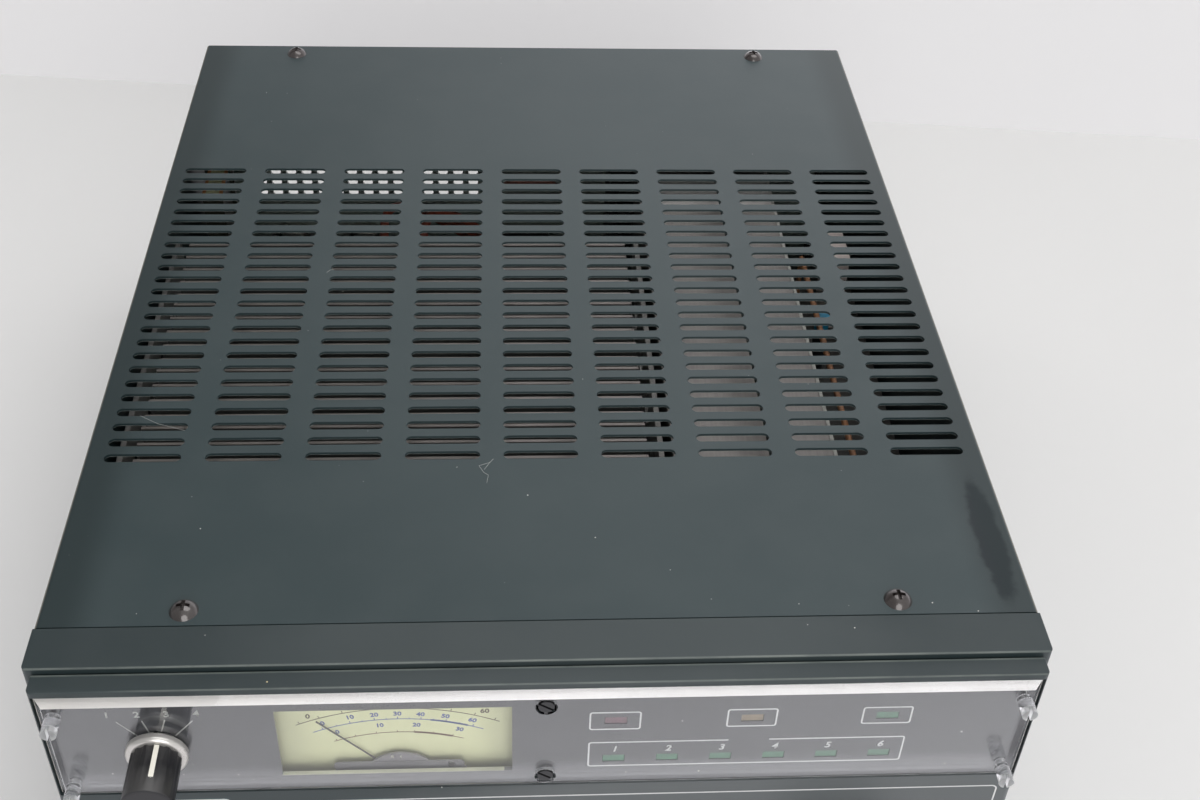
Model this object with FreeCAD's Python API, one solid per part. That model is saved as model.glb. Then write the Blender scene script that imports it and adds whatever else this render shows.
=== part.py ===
import math
import os

import FreeCAD
import Part

# HF linear amplifier, in millimetres. +X is to the right seen from the front, +Y runs to the back,
# +Z is up. The origin is on the desk, under the middle of the overall length.

# ---------------------------------------------------------------- driving sizes
COVER_W = 240.0
COVER_D = 287.0
CASE_H = 111.0
SHEET = 1.2
COVER_T = 0.8
FOOT_H = 9.0

BEZEL_STEP = 0.2
TIER1_D = 12.2
BEZEL_D = 17.9
TIER2_INSET = 2.0
TIER2_DROP = 1.45
GROOVE_W = 0.5
GROOVE_D = 1.2
EDGE_R = 0.4
CORNER_R = 1.5
FACE_T = 3.0

SLOT_COLS = 9
SLOT_ROWS = 24
SLOT_PITCH_X = 26.2
SLOT_PITCH_Y = 6.12
SLOT_L = 20.0
SLOT_W = 3.1
SLOT_FRONT = 58.6

SCREW_INSET = 34.0
SCREW_FRONT = 5.0
SCREW_BACK = 6.0
SCREW_R = 2.0
SCREW_HEAD_R = 3.5
SCREW_HEAD_H = 2.2
SCREW_LEN = 6.0
SIDE_RISE = 8.0
SIDE_END = 30.0
TRAY_LIP = 15.0
FLANGE_FRONT = 11.0
FLANGE_BACK = 12.0
COVER_R = 1.2

WINDOW_TOP = 3.75
WINDOW_H = 36.15
WINDOW_T = 3.0
WINDOW_PROUD = 1.1
WINDOW_BEVEL = 2.0
PANEL_T = 1.0
POST_INSET = 7.0
POST_TAIL = 7.0
POST_TOP = 8.7
POST_DROP = 26.5
POST_R = 1.85
POST_PROUD = 5.2
POST_STEM_R = 1.3
MID_SCREW_X = -0.4
MID_HEAD_R = 1.9
MID_HOLE_R = 2.6
MID_SEAT = 2.0

METER_X = -36.1
METER_TOP = 10.7
METER_W = 55.4
METER_H = 24.3
METER_WALL = 1.2
METER_RECESS = 4.4
METER_DEEP = 24.0
METER_LOW = 4.7
DIAL_T = 0.8
DIAL_GAP = 1.0
METER_ROOM = 0.4
METER_TRIM = 0.3
COIL_HALF = 3.4
COIL_WALL = 0.8
COIL_DEEP = 8.0
MAGNET_R = 11.0
MAGNET_BORE = 7.2
MAGNET_T = 10.0
CORE_R = 1.9
DOME_R = 8.95
DOME_DROP = 39.75
BAR_DROP = 36.7
BAR_HALF = 16.0
PIVOT_X = -35.5
PIVOT_DROP = 41.3
NEEDLE_LEN = 29.0
NEEDLE_REST = 42.0

LAMP_X = 49.0
LAMP_PITCH = 13.1
LAMP_W = 5.2
LAMP_H = 2.4
LAMP_TOP = 16.6
LAMP_LOW = 31.2

KNOB_INSET = 28.6
KNOB_DROP = 22.0
KNOB_R = 5.95
KNOB_LEN = 12.8
KNOB_FLUTES = 18
KNOB_REST = 10.5
RING_R = 7.3
RING_T = 2.0
SHAFT_R = 3.0
RUN_GAP = 0.05
MOVE_GAP = 0.35

BAND_INSET = 42.0
BAND_DROP = 76.0
BAND_R = 17.0
BAND_LEN = 14.0
POWER_INSET = 24.3
POWER_DEEP = 26.0
POWER_DROP = 75.0
POWER_W = 20.0
POWER_H = 28.0
BUTTON_X = -52.0
BUTTON_PITCH = 26.0
BUTTON_COUNT = 2
BUTTON_SIZE = 11.0
BUTTON_PROUD = 6.0
BUTTON_DROP = 76.0

SINK_INSET = 8.0
SINK_BOX_GAP = 7.2
SINK_FRONT = 72.3
SINK_DROP = 14.0
FIN_PITCH = 6.82
FIN_SECTIONS = (3, 4, 5, 5)
SECTION_STEP = 5.05
FIN_T = 1.0
FIN_H = 30.0
SINK_BASE = 6.0
BRACKET_T = 1.5
BRACKET_GAP = 3.0

BOX_INSET = 34.2
BOX_W = 47.0
BOX_FRONT = 62.0
BOX_BACK = 228.0
BOX_DROP = 15.0
BOX_WALL = 1.0
LID_W = 26.8
LID_GAP = 4.0
LID_SHY = 1.4
SHELF_DROP = 52.0
LINE_GAP = 5.9
LINE_R = 0.95
LINE_DROP = 18.4
LINE_FRONT = 66.0
LINE_BACK = 176.0
BLOCK_GAP = 10.6
BLOCK_W = 5.5
BLOCK_L = 17.5
BLOCK_FRONT = 180.0
BLOCK_H = 30.0
CAP_R = 2.35
CAP_H = 26.0
CAP_GAP = 4.7
CAP_FRONT = 154.0

GRILLE_INSET = 14.4
GRILLE_DROP = 29.95
GRILLE_PITCH = 6.02
GRILLE_RISE = 4.8
GRILLE_HOLE_R = 1.95
GRILLE_COLS = 15
GRILLE_ROWS = 8
FAN_INSET = 58.0
FAN_DROP = 56.0
FAN_SIZE = 60.0
FAN_T = 25.0
FAN_WALL = 2.0
FAN_HUB_R = 13.5
FAN_SCREW_IN = 5.0
FAN_SCREW_R = 1.75
FAN_BLADES = 7

JACK_INSET = 25.0
JACK_PITCH = 29.0
JACK_RISE = 21.8
JACK_R = 7.95
JACK_LEN = 12.0
JACK_WALL = 1.4
JACK_RIM = 3.0
JACK_NUT = 2.5
JACK_PIN_R = 2.0
PIN_WALL = 0.7
EARTH_GAP = 28.0
EARTH_RISE = 15.8
EARTH_R = 2.5
EARTH_LEN = 16.0
EARTH_COLLAR_R = 5.0
EARTH_COLLAR_T = 2.0
WING_HALF = 10.0
WING_H = 9.0
WING_T = 2.4
SOCKET_GAP = 32.0
SOCKET_W = 30.0
SOCKET_H = 16.0
SOCKET_OUT = 3.0
INLET_RISE = 9.8
INLET_W = 34.0
INLET_H = 15.0
INLET_DEEP = 14.0
INLET_OUT = 6.0
MOUTH_DEEP = 11.0
PLUG_WALL = 1.5
WIRE_R = 1.6
PANEL_INSET = 1.0
FOOT_R = 9.0
FOOT_INSET = 25.0
FOOT_END = 25.5
FOOT_SCREW_R = 2.0
FOOT_SEAT = 4.0
BOARD_INSET = 20.0
BOARD_BOX_GAP = 18.0
BOARD_FRONT = 40.0
BOARD_BACK = 215.0
BOARD_RISE = 8.0
BOARD_T = 1.6
STAND_R = 2.5
STAND_IN = 5.0
CAN_R = 9.0
CAN_H = 24.0
CAN_EDGE = 24.0
CAN_COUNT = 4
SMALL_CAN_R = 5.0
SMALL_CAN_H = 14.0
CHIP_L = 20.0
CHIP_W = 7.0
CHIP_H = 4.5
RELAY_INSET = 8.5
RELAY_END = 52.0
RELAY_HALF = 3.5
RELAY_L = 16.0
RELAY_H = 26.0
STRAP_HALF = 5.0
STRAP_H = 90.0

# ---------------------------------------------------------------- planes that follow from them
HALF_W = COVER_W / 2
FRONT_REACH = BEZEL_D + WINDOW_PROUD + MOVE_GAP + RING_T + KNOB_LEN
REAR_REACH = EARTH_LEN - PANEL_INSET
Y_JOINT = FRONT_REACH - (FRONT_REACH + COVER_D + REAR_REACH) / 2
Y_BACK = Y_JOINT + COVER_D
Y_MID = (Y_JOINT + Y_BACK) / 2
Z_BASE = FOOT_H
Z_TOP = FOOT_H + CASE_H
INNER_X = HALF_W - COVER_T
TRAY_GAP = 0.15
Y_PANEL_BACK = Y_BACK - PANEL_INSET
Z_FLOOR = Z_BASE + SHEET
BEZEL_X = HALF_W + BEZEL_STEP
TIER2_X = BEZEL_X - TIER2_INSET
POCKET_X = TIER2_X - 0.7
WINDOW_X = POCKET_X - 0.35
SCREW_X = HALF_W - SCREW_INSET
POST_X = HALF_W - POST_INSET
KNOB_X = KNOB_INSET - HALF_W
BAND_X = HALF_W - BAND_INSET
POWER_X = POWER_INSET - HALF_W
FAN_X = HALF_W - FAN_INSET
FOOT_X = HALF_W - FOOT_INSET
FOOT_Y = COVER_D / 2 - FOOT_END
BOX_RIGHT = INNER_X - BOX_INSET
BOX_LEFT = BOX_RIGHT - BOX_W
LID_SPLIT = BOX_LEFT + LID_W
SINK_LEFT = SINK_INSET - HALF_W
SINK_RIGHT = BOX_LEFT - SINK_BOX_GAP
GRILLE_LEFT = GRILLE_INSET - HALF_W
FAN_BORE_R = FAN_SIZE / 2 - FAN_WALL
EDGE = 0.01


def y_in(depth):
    """Plane at a depth behind the joint of cover and bezel."""
    return Y_JOINT + depth


def z_down(drop):
    """Plane at a drop below the top of the cover."""
    return Z_TOP - drop


Y_RIM = y_in(-BEZEL_D)
Y_FACE = Y_RIM - WINDOW_PROUD
Y_WINDOW_BACK = Y_FACE + WINDOW_T
Y_PRINT = Y_WINDOW_BACK + 0.5
Y_LEDGE = Y_PRINT + PANEL_T
Y_FRAME = Y_JOINT
Y_FRAME_BACK = Y_FRAME + SHEET


# ---------------------------------------------------------------- helpers
def vec(x, y, z):
    return FreeCAD.Vector(x, y, z)


def box(x0, x1, y0, y1, z0, z1):
    return Part.makeBox(x1 - x0, y1 - y0, z1 - z0, vec(x0, y0, z0))


def rod_x(r, x0, x1, y, z):
    return Part.makeCylinder(r, x1 - x0, vec(x0, y, z), vec(1, 0, 0))


def rod_y(r, y0, y1, x, z):
    return Part.makeCylinder(r, y1 - y0, vec(x, y0, z), vec(0, 1, 0))


def rod_z(r, z0, z1, x, y):
    return Part.makeCylinder(r, z1 - z0, vec(x, y, z0), vec(0, 0, 1))


def slot_z(x, y, length, width, z0, z1):
    """Round-ended slot along X, cut downwards."""
    r = width / 2
    half = length / 2 - r
    middle = box(x - half, x + half, y - r, y + r, z0, z1)
    return middle.fuse([rod_z(r, z0, z1, x - half, y), rod_z(r, z0, z1, x + half, y)])


def group(shapes):
    return Part.makeCompound(shapes)


def joined(shapes):
    return shapes[0].fuse(shapes[1:]).removeSplitter()


def tube_path(points, r):
    """Round wire through a row of points."""
    curve = Part.BSplineCurve()
    curve.interpolate([vec(*p) for p in points])
    edge = curve.toShape()
    start = edge.valueAt(edge.FirstParameter)
    along = edge.tangentAt(edge.FirstParameter)
    circle = Part.Wire([Part.makeCircle(r, start, along)])
    return Part.Wire([edge]).makePipeShell([circle], True, False)


def cross_screw(head_r, head_h, stem_r, stem_len):
    """Cross-recessed screw with a domed head, head up, seated on the origin."""
    stem = rod_z(stem_r, -stem_len, 0, 0, 0)
    ball_r = (head_r ** 2 + head_h ** 2) / (2 * head_h)
    ball = Part.makeSphere(ball_r, vec(0, 0, head_h - ball_r))
    head = ball.common(rod_z(head_r, 0, head_h + 1, 0, 0))
    cut = 0.13 * head_r
    arm = 0.46 * head_r
    cross = [box(-arm, arm, -cut, cut, head_h * 0.4, head_h + 1)]
    cross.append(box(-cut, cut, -arm, arm, head_h * 0.4, head_h + 1))
    return head.fuse(stem).cut(group(cross))


def set_at(shape, x, y, z, axis=None, turn=0):
    """Copy of a shape made at the origin, turned and moved to its place."""
    shape = shape.copy()
    if axis:
        shape.rotate(vec(0, 0, 0), vec(*axis), turn)
    shape.translate(vec(x, y, z))
    return shape


def save(node, shape):
    shape.exportStep("parts/" + node + ".step")


# ---------------------------------------------------------------- shared positions
SIDE_Z = Z_BASE + SIDE_RISE
SIDE_Y = [y_in(SIDE_END), Y_MID, Y_BACK - SIDE_END]

TOP_SCREWS = []
for sx in (-1, 1):
    TOP_SCREWS.append((sx * SCREW_X, y_in(SCREW_FRONT)))
    TOP_SCREWS.append((sx * SCREW_X, Y_BACK - SCREW_BACK))

POSTS = []
for sx in (-1, 1):
    POSTS.append((sx * POST_X, z_down(POST_TOP)))
    POSTS.append((sx * POST_X, z_down(POST_TOP + POST_DROP)))
MIDDLES = [(MID_SCREW_X, z_down(POST_TOP)), (MID_SCREW_X, z_down(POST_TOP + POST_DROP))]

SLOT_X = [(c - (SLOT_COLS - 1) / 2) * SLOT_PITCH_X for c in range(SLOT_COLS)]
SLOT_Y = [y_in(SLOT_FRONT) + r * SLOT_PITCH_Y for r in range(SLOT_ROWS)]

FEET = [(sx * FOOT_X, Y_MID + sy * FOOT_Y) for sx in (-1, 1) for sy in (-1, 1)]

LOW_LAMPS = [LAMP_X + (i - 2.5) * LAMP_PITCH for i in range(6)]
TOP_LAMPS = [LOW_LAMPS[0], LAMP_X, LOW_LAMPS[5]]
BUTTONS = [BUTTON_X + i * BUTTON_PITCH for i in range(BUTTON_COUNT)]

Z_KNOB = z_down(KNOB_DROP)
Z_BAND = z_down(BAND_DROP)
Z_POWER = z_down(POWER_DROP)
Z_BUTTON = z_down(BUTTON_DROP)
METER_L = METER_X - METER_W / 2
METER_R = METER_X + METER_W / 2
CASE_PAD = 1.8
METER_X0 = METER_L - CASE_PAD - METER_WALL
METER_X1 = METER_R + CASE_PAD + METER_WALL - METER_TRIM
METER_Z1 = z_down(METER_TOP - 1.2)
METER_Z0 = z_down(PIVOT_DROP + METER_LOW)
METER_Y1 = Y_LEDGE + METER_DEEP
SWITCH_R = 12.0
BAND_SWITCH_R = 16.0
SWITCH_DEEP = 14.0
BUSH_R = 4.5
LAMP_BOARD_Y = Y_PRINT + 6.0

Z_SINK = z_down(SINK_DROP)
Z_SINK_BASE = Z_SINK - FIN_H
Z_SINK_LOW = Z_SINK_BASE - SINK_BASE
SINK_Y0 = y_in(SINK_FRONT)
FIN_Y = []
fin_y = SINK_Y0
for count in FIN_SECTIONS:
    FIN_Y += [fin_y + i * FIN_PITCH for i in range(count)]
    fin_y = FIN_Y[-1] + SECTION_STEP
SINK_Y1 = FIN_Y[-1] + FIN_T
BRACKET_L = SINK_LEFT - BRACKET_GAP
BRACKET_R = SINK_RIGHT + BRACKET_GAP
FOOT_IN = 12.0

Z_BOX = z_down(BOX_DROP)
BOX_Y0 = y_in(BOX_FRONT)
BOX_Y1 = y_in(BOX_BACK)
Z_BOX_FLOOR = z_down(SHELF_DROP + 8.0)
LID_A1 = LID_SPLIT
LID_B0 = LID_SPLIT + LID_GAP

GRILLE = []
for col in range(GRILLE_COLS):
    for row in range(GRILLE_ROWS):
        GRILLE.append((GRILLE_LEFT + col * GRILLE_PITCH, z_down(GRILLE_DROP + row * GRILLE_RISE)))
Z_FAN = z_down(FAN_DROP)
FAN_GRILLE = []
span = int(FAN_BORE_R / GRILLE_RISE)
for i in range(-span, span + 1):
    for j in range(-span, span + 1):
        if math.hypot(i * GRILLE_PITCH, j * GRILLE_RISE) < FAN_BORE_R - GRILLE_HOLE_R:
            FAN_GRILLE.append((FAN_X + i * GRILLE_PITCH, Z_FAN + j * GRILLE_RISE))
FAN_SCREW_AT = FAN_SIZE / 2 - FAN_SCREW_IN
FAN_SCREWS = [(FAN_X + sx * FAN_SCREW_AT, Z_FAN + sz * FAN_SCREW_AT) for sx in (-1, 1) for sz in (-1, 1)]

JACK_X = JACK_INSET - HALF_W
Z_JACK = Z_FLOOR + JACK_RISE
JACKS = [(JACK_X, Z_JACK), (JACK_X + JACK_PITCH, Z_JACK)]
EARTH = (JACK_X + JACK_PITCH + EARTH_GAP, Z_FLOOR + EARTH_RISE)
SOCKET = (EARTH[0] + SOCKET_GAP, Z_JACK)
INLET = (FAN_X, Z_FLOOR + INLET_RISE)

BOARD_Z = Z_FLOOR + BOARD_RISE
BOARD_X0 = BOARD_INSET - HALF_W
BOARD_X1 = BOX_LEFT - BOARD_BOX_GAP
BOARD_Y0 = y_in(BOARD_FRONT)
BOARD_Y1 = y_in(BOARD_BACK)
BOARD_MID = (BOARD_X0 + BOARD_X1) / 2
STAND_X = (BOARD_X0 + STAND_IN, BOARD_X1 - STAND_IN)
STAND_Y = (BOARD_Y0 + STAND_IN, BOARD_Y1 - STAND_IN)
STANDS = [(x, y) for x in STAND_X for y in STAND_Y]

PA_BOARD_Z = Z_SINK_LOW - 3.0
PA_X0 = SINK_LEFT + 16.0
PA_X1 = SINK_RIGHT - 16.0
PA_Y0 = SINK_Y0 + 10.0
PA_Y1 = SINK_Y1 - 10.0
PA_STANDS = [(x, y) for x in (PA_X0 + 4, PA_X1 - 4) for y in (PA_Y0 + 4, PA_Y1 - 4)]
DIE_L = 24.0
DIE_W = 10.0
DIES = [(x, y) for x in (PA_X0 + 30, PA_X1 - 30) for y in (PA_Y0 + 12, PA_Y1 - 12)]

SHELF_X0 = BOX_RIGHT
SHELF_X1 = INNER_X - 2.0
SHELF_T = 1.0
Z_SHELF = z_down(SHELF_DROP)
LINE_X = BOX_RIGHT + LINE_GAP
Z_LINE = z_down(LINE_DROP) - LINE_R


# ---------------------------------------------------------------- case
def top_cover():
    outer = box(-HALF_W, HALF_W, y_in(0.35), Y_BACK, Z_BASE + 0.6, Z_TOP)
    corners = [e for e in outer.Edges if abs(e.CenterOfMass.z - Z_TOP) < EDGE and e.Length > COVER_D - 1]
    outer = outer.makeFillet(COVER_R, corners)
    inner = box(-INNER_X, INNER_X, Y_JOINT - 1, Y_BACK + 1, Z_BASE - 1, Z_TOP - COVER_T)
    top = Z_TOP - COVER_T
    corners = [e for e in inner.Edges if abs(e.CenterOfMass.z - top) < EDGE and e.Length > COVER_D]
    inner = inner.makeFillet(COVER_R - COVER_T, corners)
    cuts = []
    for x in SLOT_X:
        for y in SLOT_Y:
            cuts.append(slot_z(x, y, SLOT_L, SLOT_W, Z_TOP - COVER_T - 1, Z_TOP + 1))
    for x, y in TOP_SCREWS:
        cuts.append(rod_z(SCREW_R + 0.2, Z_TOP - COVER_T - 1, Z_TOP + 1, x, y))
    for y in SIDE_Y:
        cuts.append(rod_x(SCREW_R + 0.2, -HALF_W - 1, -INNER_X + 1, y, SIDE_Z))
        cuts.append(rod_x(SCREW_R + 0.2, INNER_X - 1, HALF_W + 1, y, SIDE_Z))
    return outer.cut(inner).cut(group(cuts))


def case_screws():
    """The same pan head screw on top and at the sides."""
    screw = cross_screw(SCREW_HEAD_R, SCREW_HEAD_H, SCREW_R, SCREW_LEN)
    screws = [set_at(screw, x, y, Z_TOP) for x, y in TOP_SCREWS]
    for y in SIDE_Y:
        for s in (-1, 1):
            screws.append(set_at(screw, s * HALF_W, y, SIDE_Z, (0, 1, 0), s * 90))
    return group(screws)


def base_tray():
    x1 = INNER_X - TRAY_GAP
    floor = box(-x1, x1, Y_JOINT, Y_PANEL_BACK, Z_BASE, Z_FLOOR)
    walls = [box(-x1, -x1 + SHEET, Y_JOINT, Y_PANEL_BACK, Z_BASE, Z_BASE + TRAY_LIP)]
    walls.append(box(x1 - SHEET, x1, Y_JOINT, Y_PANEL_BACK, Z_BASE, Z_BASE + TRAY_LIP))
    tray = joined([floor] + walls)
    cuts = []
    for x in SLOT_X[1:-1]:
        for y in SLOT_Y[2::3]:
            cuts.append(slot_z(x, y, SLOT_L, SLOT_W, Z_BASE - 1, Z_FLOOR + 1))
    for x, y in FEET:
        cuts.append(rod_z(FOOT_SCREW_R, Z_BASE - 1, Z_FLOOR + 1, x, y))
    for y in SIDE_Y:
        for s in (-1, 1):
            near = min(s * (x1 + 1), s * (x1 - SHEET - 1))
            far = max(s * (x1 + 1), s * (x1 - SHEET - 1))
            cuts.append(rod_x(SCREW_R, near, far, y, SIDE_Z))
    return tray.cut(group(cuts))


def frame_sheet(y0, y1, flange_in, z_top):
    """Upright sheet with a flange at the top and a foot on the tray."""
    x1 = INNER_X - TRAY_GAP - SHEET - 0.1
    sheet = box(-x1, x1, y0, y1, Z_FLOOR, z_top)
    ya, yb = sorted((y0 if flange_in > 0 else y1, (y0 if flange_in > 0 else y1) + flange_in))
    flange = box(-x1, x1, ya, yb, z_top - SHEET, z_top)
    foot = box(-x1, x1, ya, yb, Z_FLOOR, Z_FLOOR + SHEET)
    return joined([sheet, flange, foot])


def front_frame():
    frame = frame_sheet(Y_FRAME, Y_FRAME_BACK, FLANGE_FRONT, Z_TOP - COVER_T)
    x0 = METER_X0 - METER_ROOM
    x1 = METER_X1 + METER_ROOM
    z0 = METER_Z0 - METER_ROOM
    z1 = METER_Z1 + METER_ROOM
    cuts = [box(x0, x1, Y_FRAME - 1, Y_FRAME_BACK + 1, z0, z1)]
    cuts.append(rod_y(BUSH_R, Y_FRAME - 1, Y_FRAME_BACK + 1, KNOB_X, Z_KNOB))
    cuts.append(rod_y(BUSH_R, Y_FRAME - 1, Y_FRAME_BACK + 1, BAND_X, Z_BAND))
    w = POWER_W / 2 + 3.0
    h = POWER_H / 2 + 3.0
    cuts.append(box(POWER_X - w, POWER_X + w, Y_FRAME - 1, Y_FRAME_BACK + 1, Z_POWER - h, Z_POWER + h))
    for x, y in TOP_SCREWS:
        if y < 0:
            cuts.append(rod_z(SCREW_R, Z_TOP - 8, Z_TOP, x, y))
    return frame.cut(group(cuts))


def rear_panel():
    panel = frame_sheet(Y_PANEL_BACK - SHEET, Y_PANEL_BACK, -FLANGE_BACK, Z_TOP - COVER_T)
    y0 = Y_PANEL_BACK - SHEET - 1
    y1 = Y_PANEL_BACK + 1
    cuts = [rod_y(GRILLE_HOLE_R, y0, y1, x, z) for x, z in GRILLE + FAN_GRILLE]
    cuts += [rod_y(FAN_SCREW_R, y0, y1, x, z) for x, z in FAN_SCREWS]
    cuts += [rod_y(JACK_R, y0, y1, x, z) for x, z in JACKS]
    cuts.append(rod_y(EARTH_R, y0, y1, *EARTH))
    for (x, z), w, h in ((SOCKET, SOCKET_W, SOCKET_H), (INLET, INLET_W, INLET_H)):
        cuts.append(box(x - w / 2, x + w / 2, y0, y1, z - h / 2, z + h / 2))
    for x, y in TOP_SCREWS:
        if y > 0:
            cuts.append(rod_z(SCREW_R, Z_TOP - 8, Z_TOP, x, y))
    return panel.cut(group(cuts))


def feet():
    pads = []
    for x, y in FEET:
        pad = Part.makeCone(FOOT_R - 1.0, FOOT_R, FOOT_H, vec(x, y, 0), vec(0, 0, 1))
        pad = pad.cut(rod_z(4.2, -1, FOOT_SEAT, x, y))
        pad = pad.cut(rod_z(FOOT_SCREW_R + 0.2, 3, FOOT_H + 1, x, y))
        pads.append(pad)
    return group(pads)


def foot_screws():
    screw = cross_screw(3.8, 2.2, FOOT_SCREW_R, FOOT_H + 2.0)
    return group([set_at(screw, x, y, FOOT_SEAT, (1, 0, 0), 180) for x, y in FEET])


# ---------------------------------------------------------------- front
def bezel_holes():
    """Holes of the lower face for its controls."""
    cuts = [rod_y(BUSH_R + 1.0, Y_RIM - 1, Y_RIM + FACE_T + 1, BAND_X, Z_BAND)]
    w = POWER_W / 2 + MOVE_GAP + 1.5
    h = POWER_H / 2 + MOVE_GAP + 1.5
    cuts.append(box(POWER_X - w, POWER_X + w, Y_RIM - 1, Y_RIM + FACE_T + 1, Z_POWER - h, Z_POWER + h))
    b = BUTTON_SIZE / 2 + MOVE_GAP
    for x in BUTTONS:
        cuts.append(box(x - b, x + b, Y_RIM - 1, Y_RIM + FACE_T + 1, Z_BUTTON - b, Z_BUTTON + b))
    return cuts


def cast_tier(half, y0, y1, z0, z1):
    """Block with its upright front corners and its front edges rounded."""
    block = box(-half, half, y0, y1, z0, z1)
    upright = [e for e in block.Edges if abs(e.CenterOfMass.y - y0) < EDGE and abs(e.CenterOfMass.x) > half - EDGE]
    block = block.makeFillet(CORNER_R, upright)
    front = [e for e in block.Edges if abs(e.CenterOfMass.y - y0) < EDGE and abs(e.CenterOfMass.x) < EDGE]
    return block.makeFillet(EDGE_R, front)


def front_bezel():
    z0 = Z_BASE - 0.5
    tier1 = cast_tier(BEZEL_X, y_in(-TIER1_D), Y_JOINT, z0, Z_TOP)
    tier2 = cast_tier(TIER2_X, Y_RIM, y_in(-TIER1_D - GROOVE_W), z0 + TIER2_INSET, Z_TOP - TIER2_DROP)
    g = TIER2_INSET + GROOVE_D
    top = Z_TOP - TIER2_DROP - GROOVE_D
    neck = box(-BEZEL_X + g, BEZEL_X - g, y_in(-TIER1_D - 1), y_in(-TIER1_D + 1), z0 + g, top)
    body = joined([tier1, tier2, neck])
    z_pocket = z_down(WINDOW_TOP + WINDOW_H + 0.4)
    cuts = [box(-POCKET_X, POCKET_X, Y_RIM - 1, Y_LEDGE, z_pocket, z_down(WINDOW_TOP - 0.45))]
    rib = 5.2
    z_low = z_pocket - 3.0
    y1 = Y_JOINT + 1
    side = POST_X - 5.0
    for x0, x1 in ((-side, -rib), (rib, side)):
        cuts.append(box(x0, x1, Y_LEDGE - 1, y1, z_down(POST_TOP + POST_DROP + 3.3), z_down(5.5)))
    cuts.append(box(METER_X0 - 0.4, -rib, Y_LEDGE - 1, y1, METER_Z0 - 0.5, z_down(30)))
    cuts.append(box(-TIER2_X + 3, TIER2_X - 3, Y_RIM + FACE_T, y1, z0 + TIER2_INSET + 2.5, z_low))
    for x, z in POSTS + MIDDLES:
        cuts.append(rod_y(POST_STEM_R, Y_LEDGE - 1, Y_LEDGE + POST_TAIL + 1, x, z))
    body = body.cut(group(cuts))
    return body.cut(group(bezel_holes()))


def window_cuts(grow):
    y0 = Y_FACE - 1
    y1 = Y_LEDGE + 1
    cuts = [rod_y(POST_STEM_R + grow, y0, y1, x, z) for x, z in POSTS + MIDDLES]
    cuts.append(rod_y(BUSH_R + 0.3, y0, y1, KNOB_X, Z_KNOB))
    return cuts


def window():
    z1 = z_down(WINDOW_TOP)
    z0 = z1 - WINDOW_H
    pane = box(-WINDOW_X, WINDOW_X, Y_FACE, Y_WINDOW_BACK, z0, z1)
    front = [e for e in pane.Edges if abs(e.CenterOfMass.y - Y_FACE) < EDGE]
    pane = pane.makeChamfer(WINDOW_BEVEL, front)
    cuts = window_cuts(0.15)
    for x, z in MIDDLES:
        cuts.append(rod_y(MID_HOLE_R, Y_FACE - 1, Y_FACE + MID_SEAT, x, z))
    return pane.cut(group(cuts))


def printed_panel():
    z1 = z_down(WINDOW_TOP - 0.2)
    z0 = z_down(WINDOW_TOP + WINDOW_H + 0.2)
    panel = box(-WINDOW_X, WINDOW_X, Y_PRINT, Y_LEDGE, z0, z1)
    cuts = window_cuts(0.15)
    top = z_down(METER_TOP)
    cuts.append(box(METER_L, METER_R, Y_PRINT - 1, Y_LEDGE + 1, top - METER_H, top))
    for x, z in lamp_places():
        cuts.append(box(x - LAMP_W / 2 - 0.1, x + LAMP_W / 2 + 0.1, Y_PRINT - 1, Y_LEDGE + 1,
                        z - LAMP_H / 2 - 0.1, z + LAMP_H / 2 + 0.1))
    return panel.cut(group(cuts))


def window_posts():
    posts = []
    for x, z in POSTS:
        head = rod_y(POST_R, Y_FACE - POST_PROUD, Y_FACE, x, z)
        slot = box(x - 0.4, x + 0.4, Y_FACE - POST_PROUD - 1, Y_FACE - POST_PROUD + 1.4, z - 3, z + 3)
        stem = rod_y(POST_STEM_R, Y_FACE, Y_LEDGE + POST_TAIL, x, z)
        posts.append(head.cut(slot).fuse(stem))
    return group(posts)


def window_screws():
    screws = []
    for x, z in MIDDLES:
        y0 = Y_FACE + 0.1
        y1 = Y_FACE + MID_SEAT
        head = rod_y(MID_HEAD_R, y0, y1, x, z)
        slot = box(x - 3, x + 3, y0 - 1, y0 + 0.7, z - 0.3, z + 0.3)
        slot.rotate(vec(x, y0, z), vec(0, 1, 0), 35)
        screws.append(head.cut(slot).fuse(rod_y(POST_STEM_R, y1, Y_LEDGE + POST_TAIL, x, z)))
    return group(screws)


def lamp_places():
    places = [(x, z_down(LAMP_TOP)) for x in TOP_LAMPS]
    return places + [(x, z_down(LAMP_LOW)) for x in LOW_LAMPS]


def lamps(places):
    bodies = []
    for x, z in places:
        w = LAMP_W / 2
        h = LAMP_H / 2
        bodies.append(box(x - w, x + w, Y_PRINT + 0.2, LAMP_BOARD_Y, z - h, z + h))
    return group(bodies)


def lamp_board():
    x0 = LOW_LAMPS[0] - 8
    x1 = LOW_LAMPS[5] + 8
    z0 = z_down(LAMP_LOW + 4)
    z1 = z_down(LAMP_TOP - 6)
    board = box(x0, x1, LAMP_BOARD_Y, LAMP_BOARD_Y + BOARD_T, z0, z1)
    legs = []
    for x in (x0 + 3, x1 - 3):
        for z in (z0 + 3, z1 - 3):
            legs.append(rod_y(1.6, LAMP_BOARD_Y + BOARD_T, Y_FRAME, x, z))
    return joined([board] + legs)


# ---------------------------------------------------------------- meter
def meter_case():
    outer = box(METER_X0, METER_X1, Y_LEDGE, METER_Y1, METER_Z0, METER_Z1)
    w = METER_WALL
    inner = box(METER_X0 + w, METER_X1 - w, Y_LEDGE - 1, METER_Y1 - w, METER_Z0 + w, METER_Z1 - w)
    return outer.cut(inner)


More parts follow.
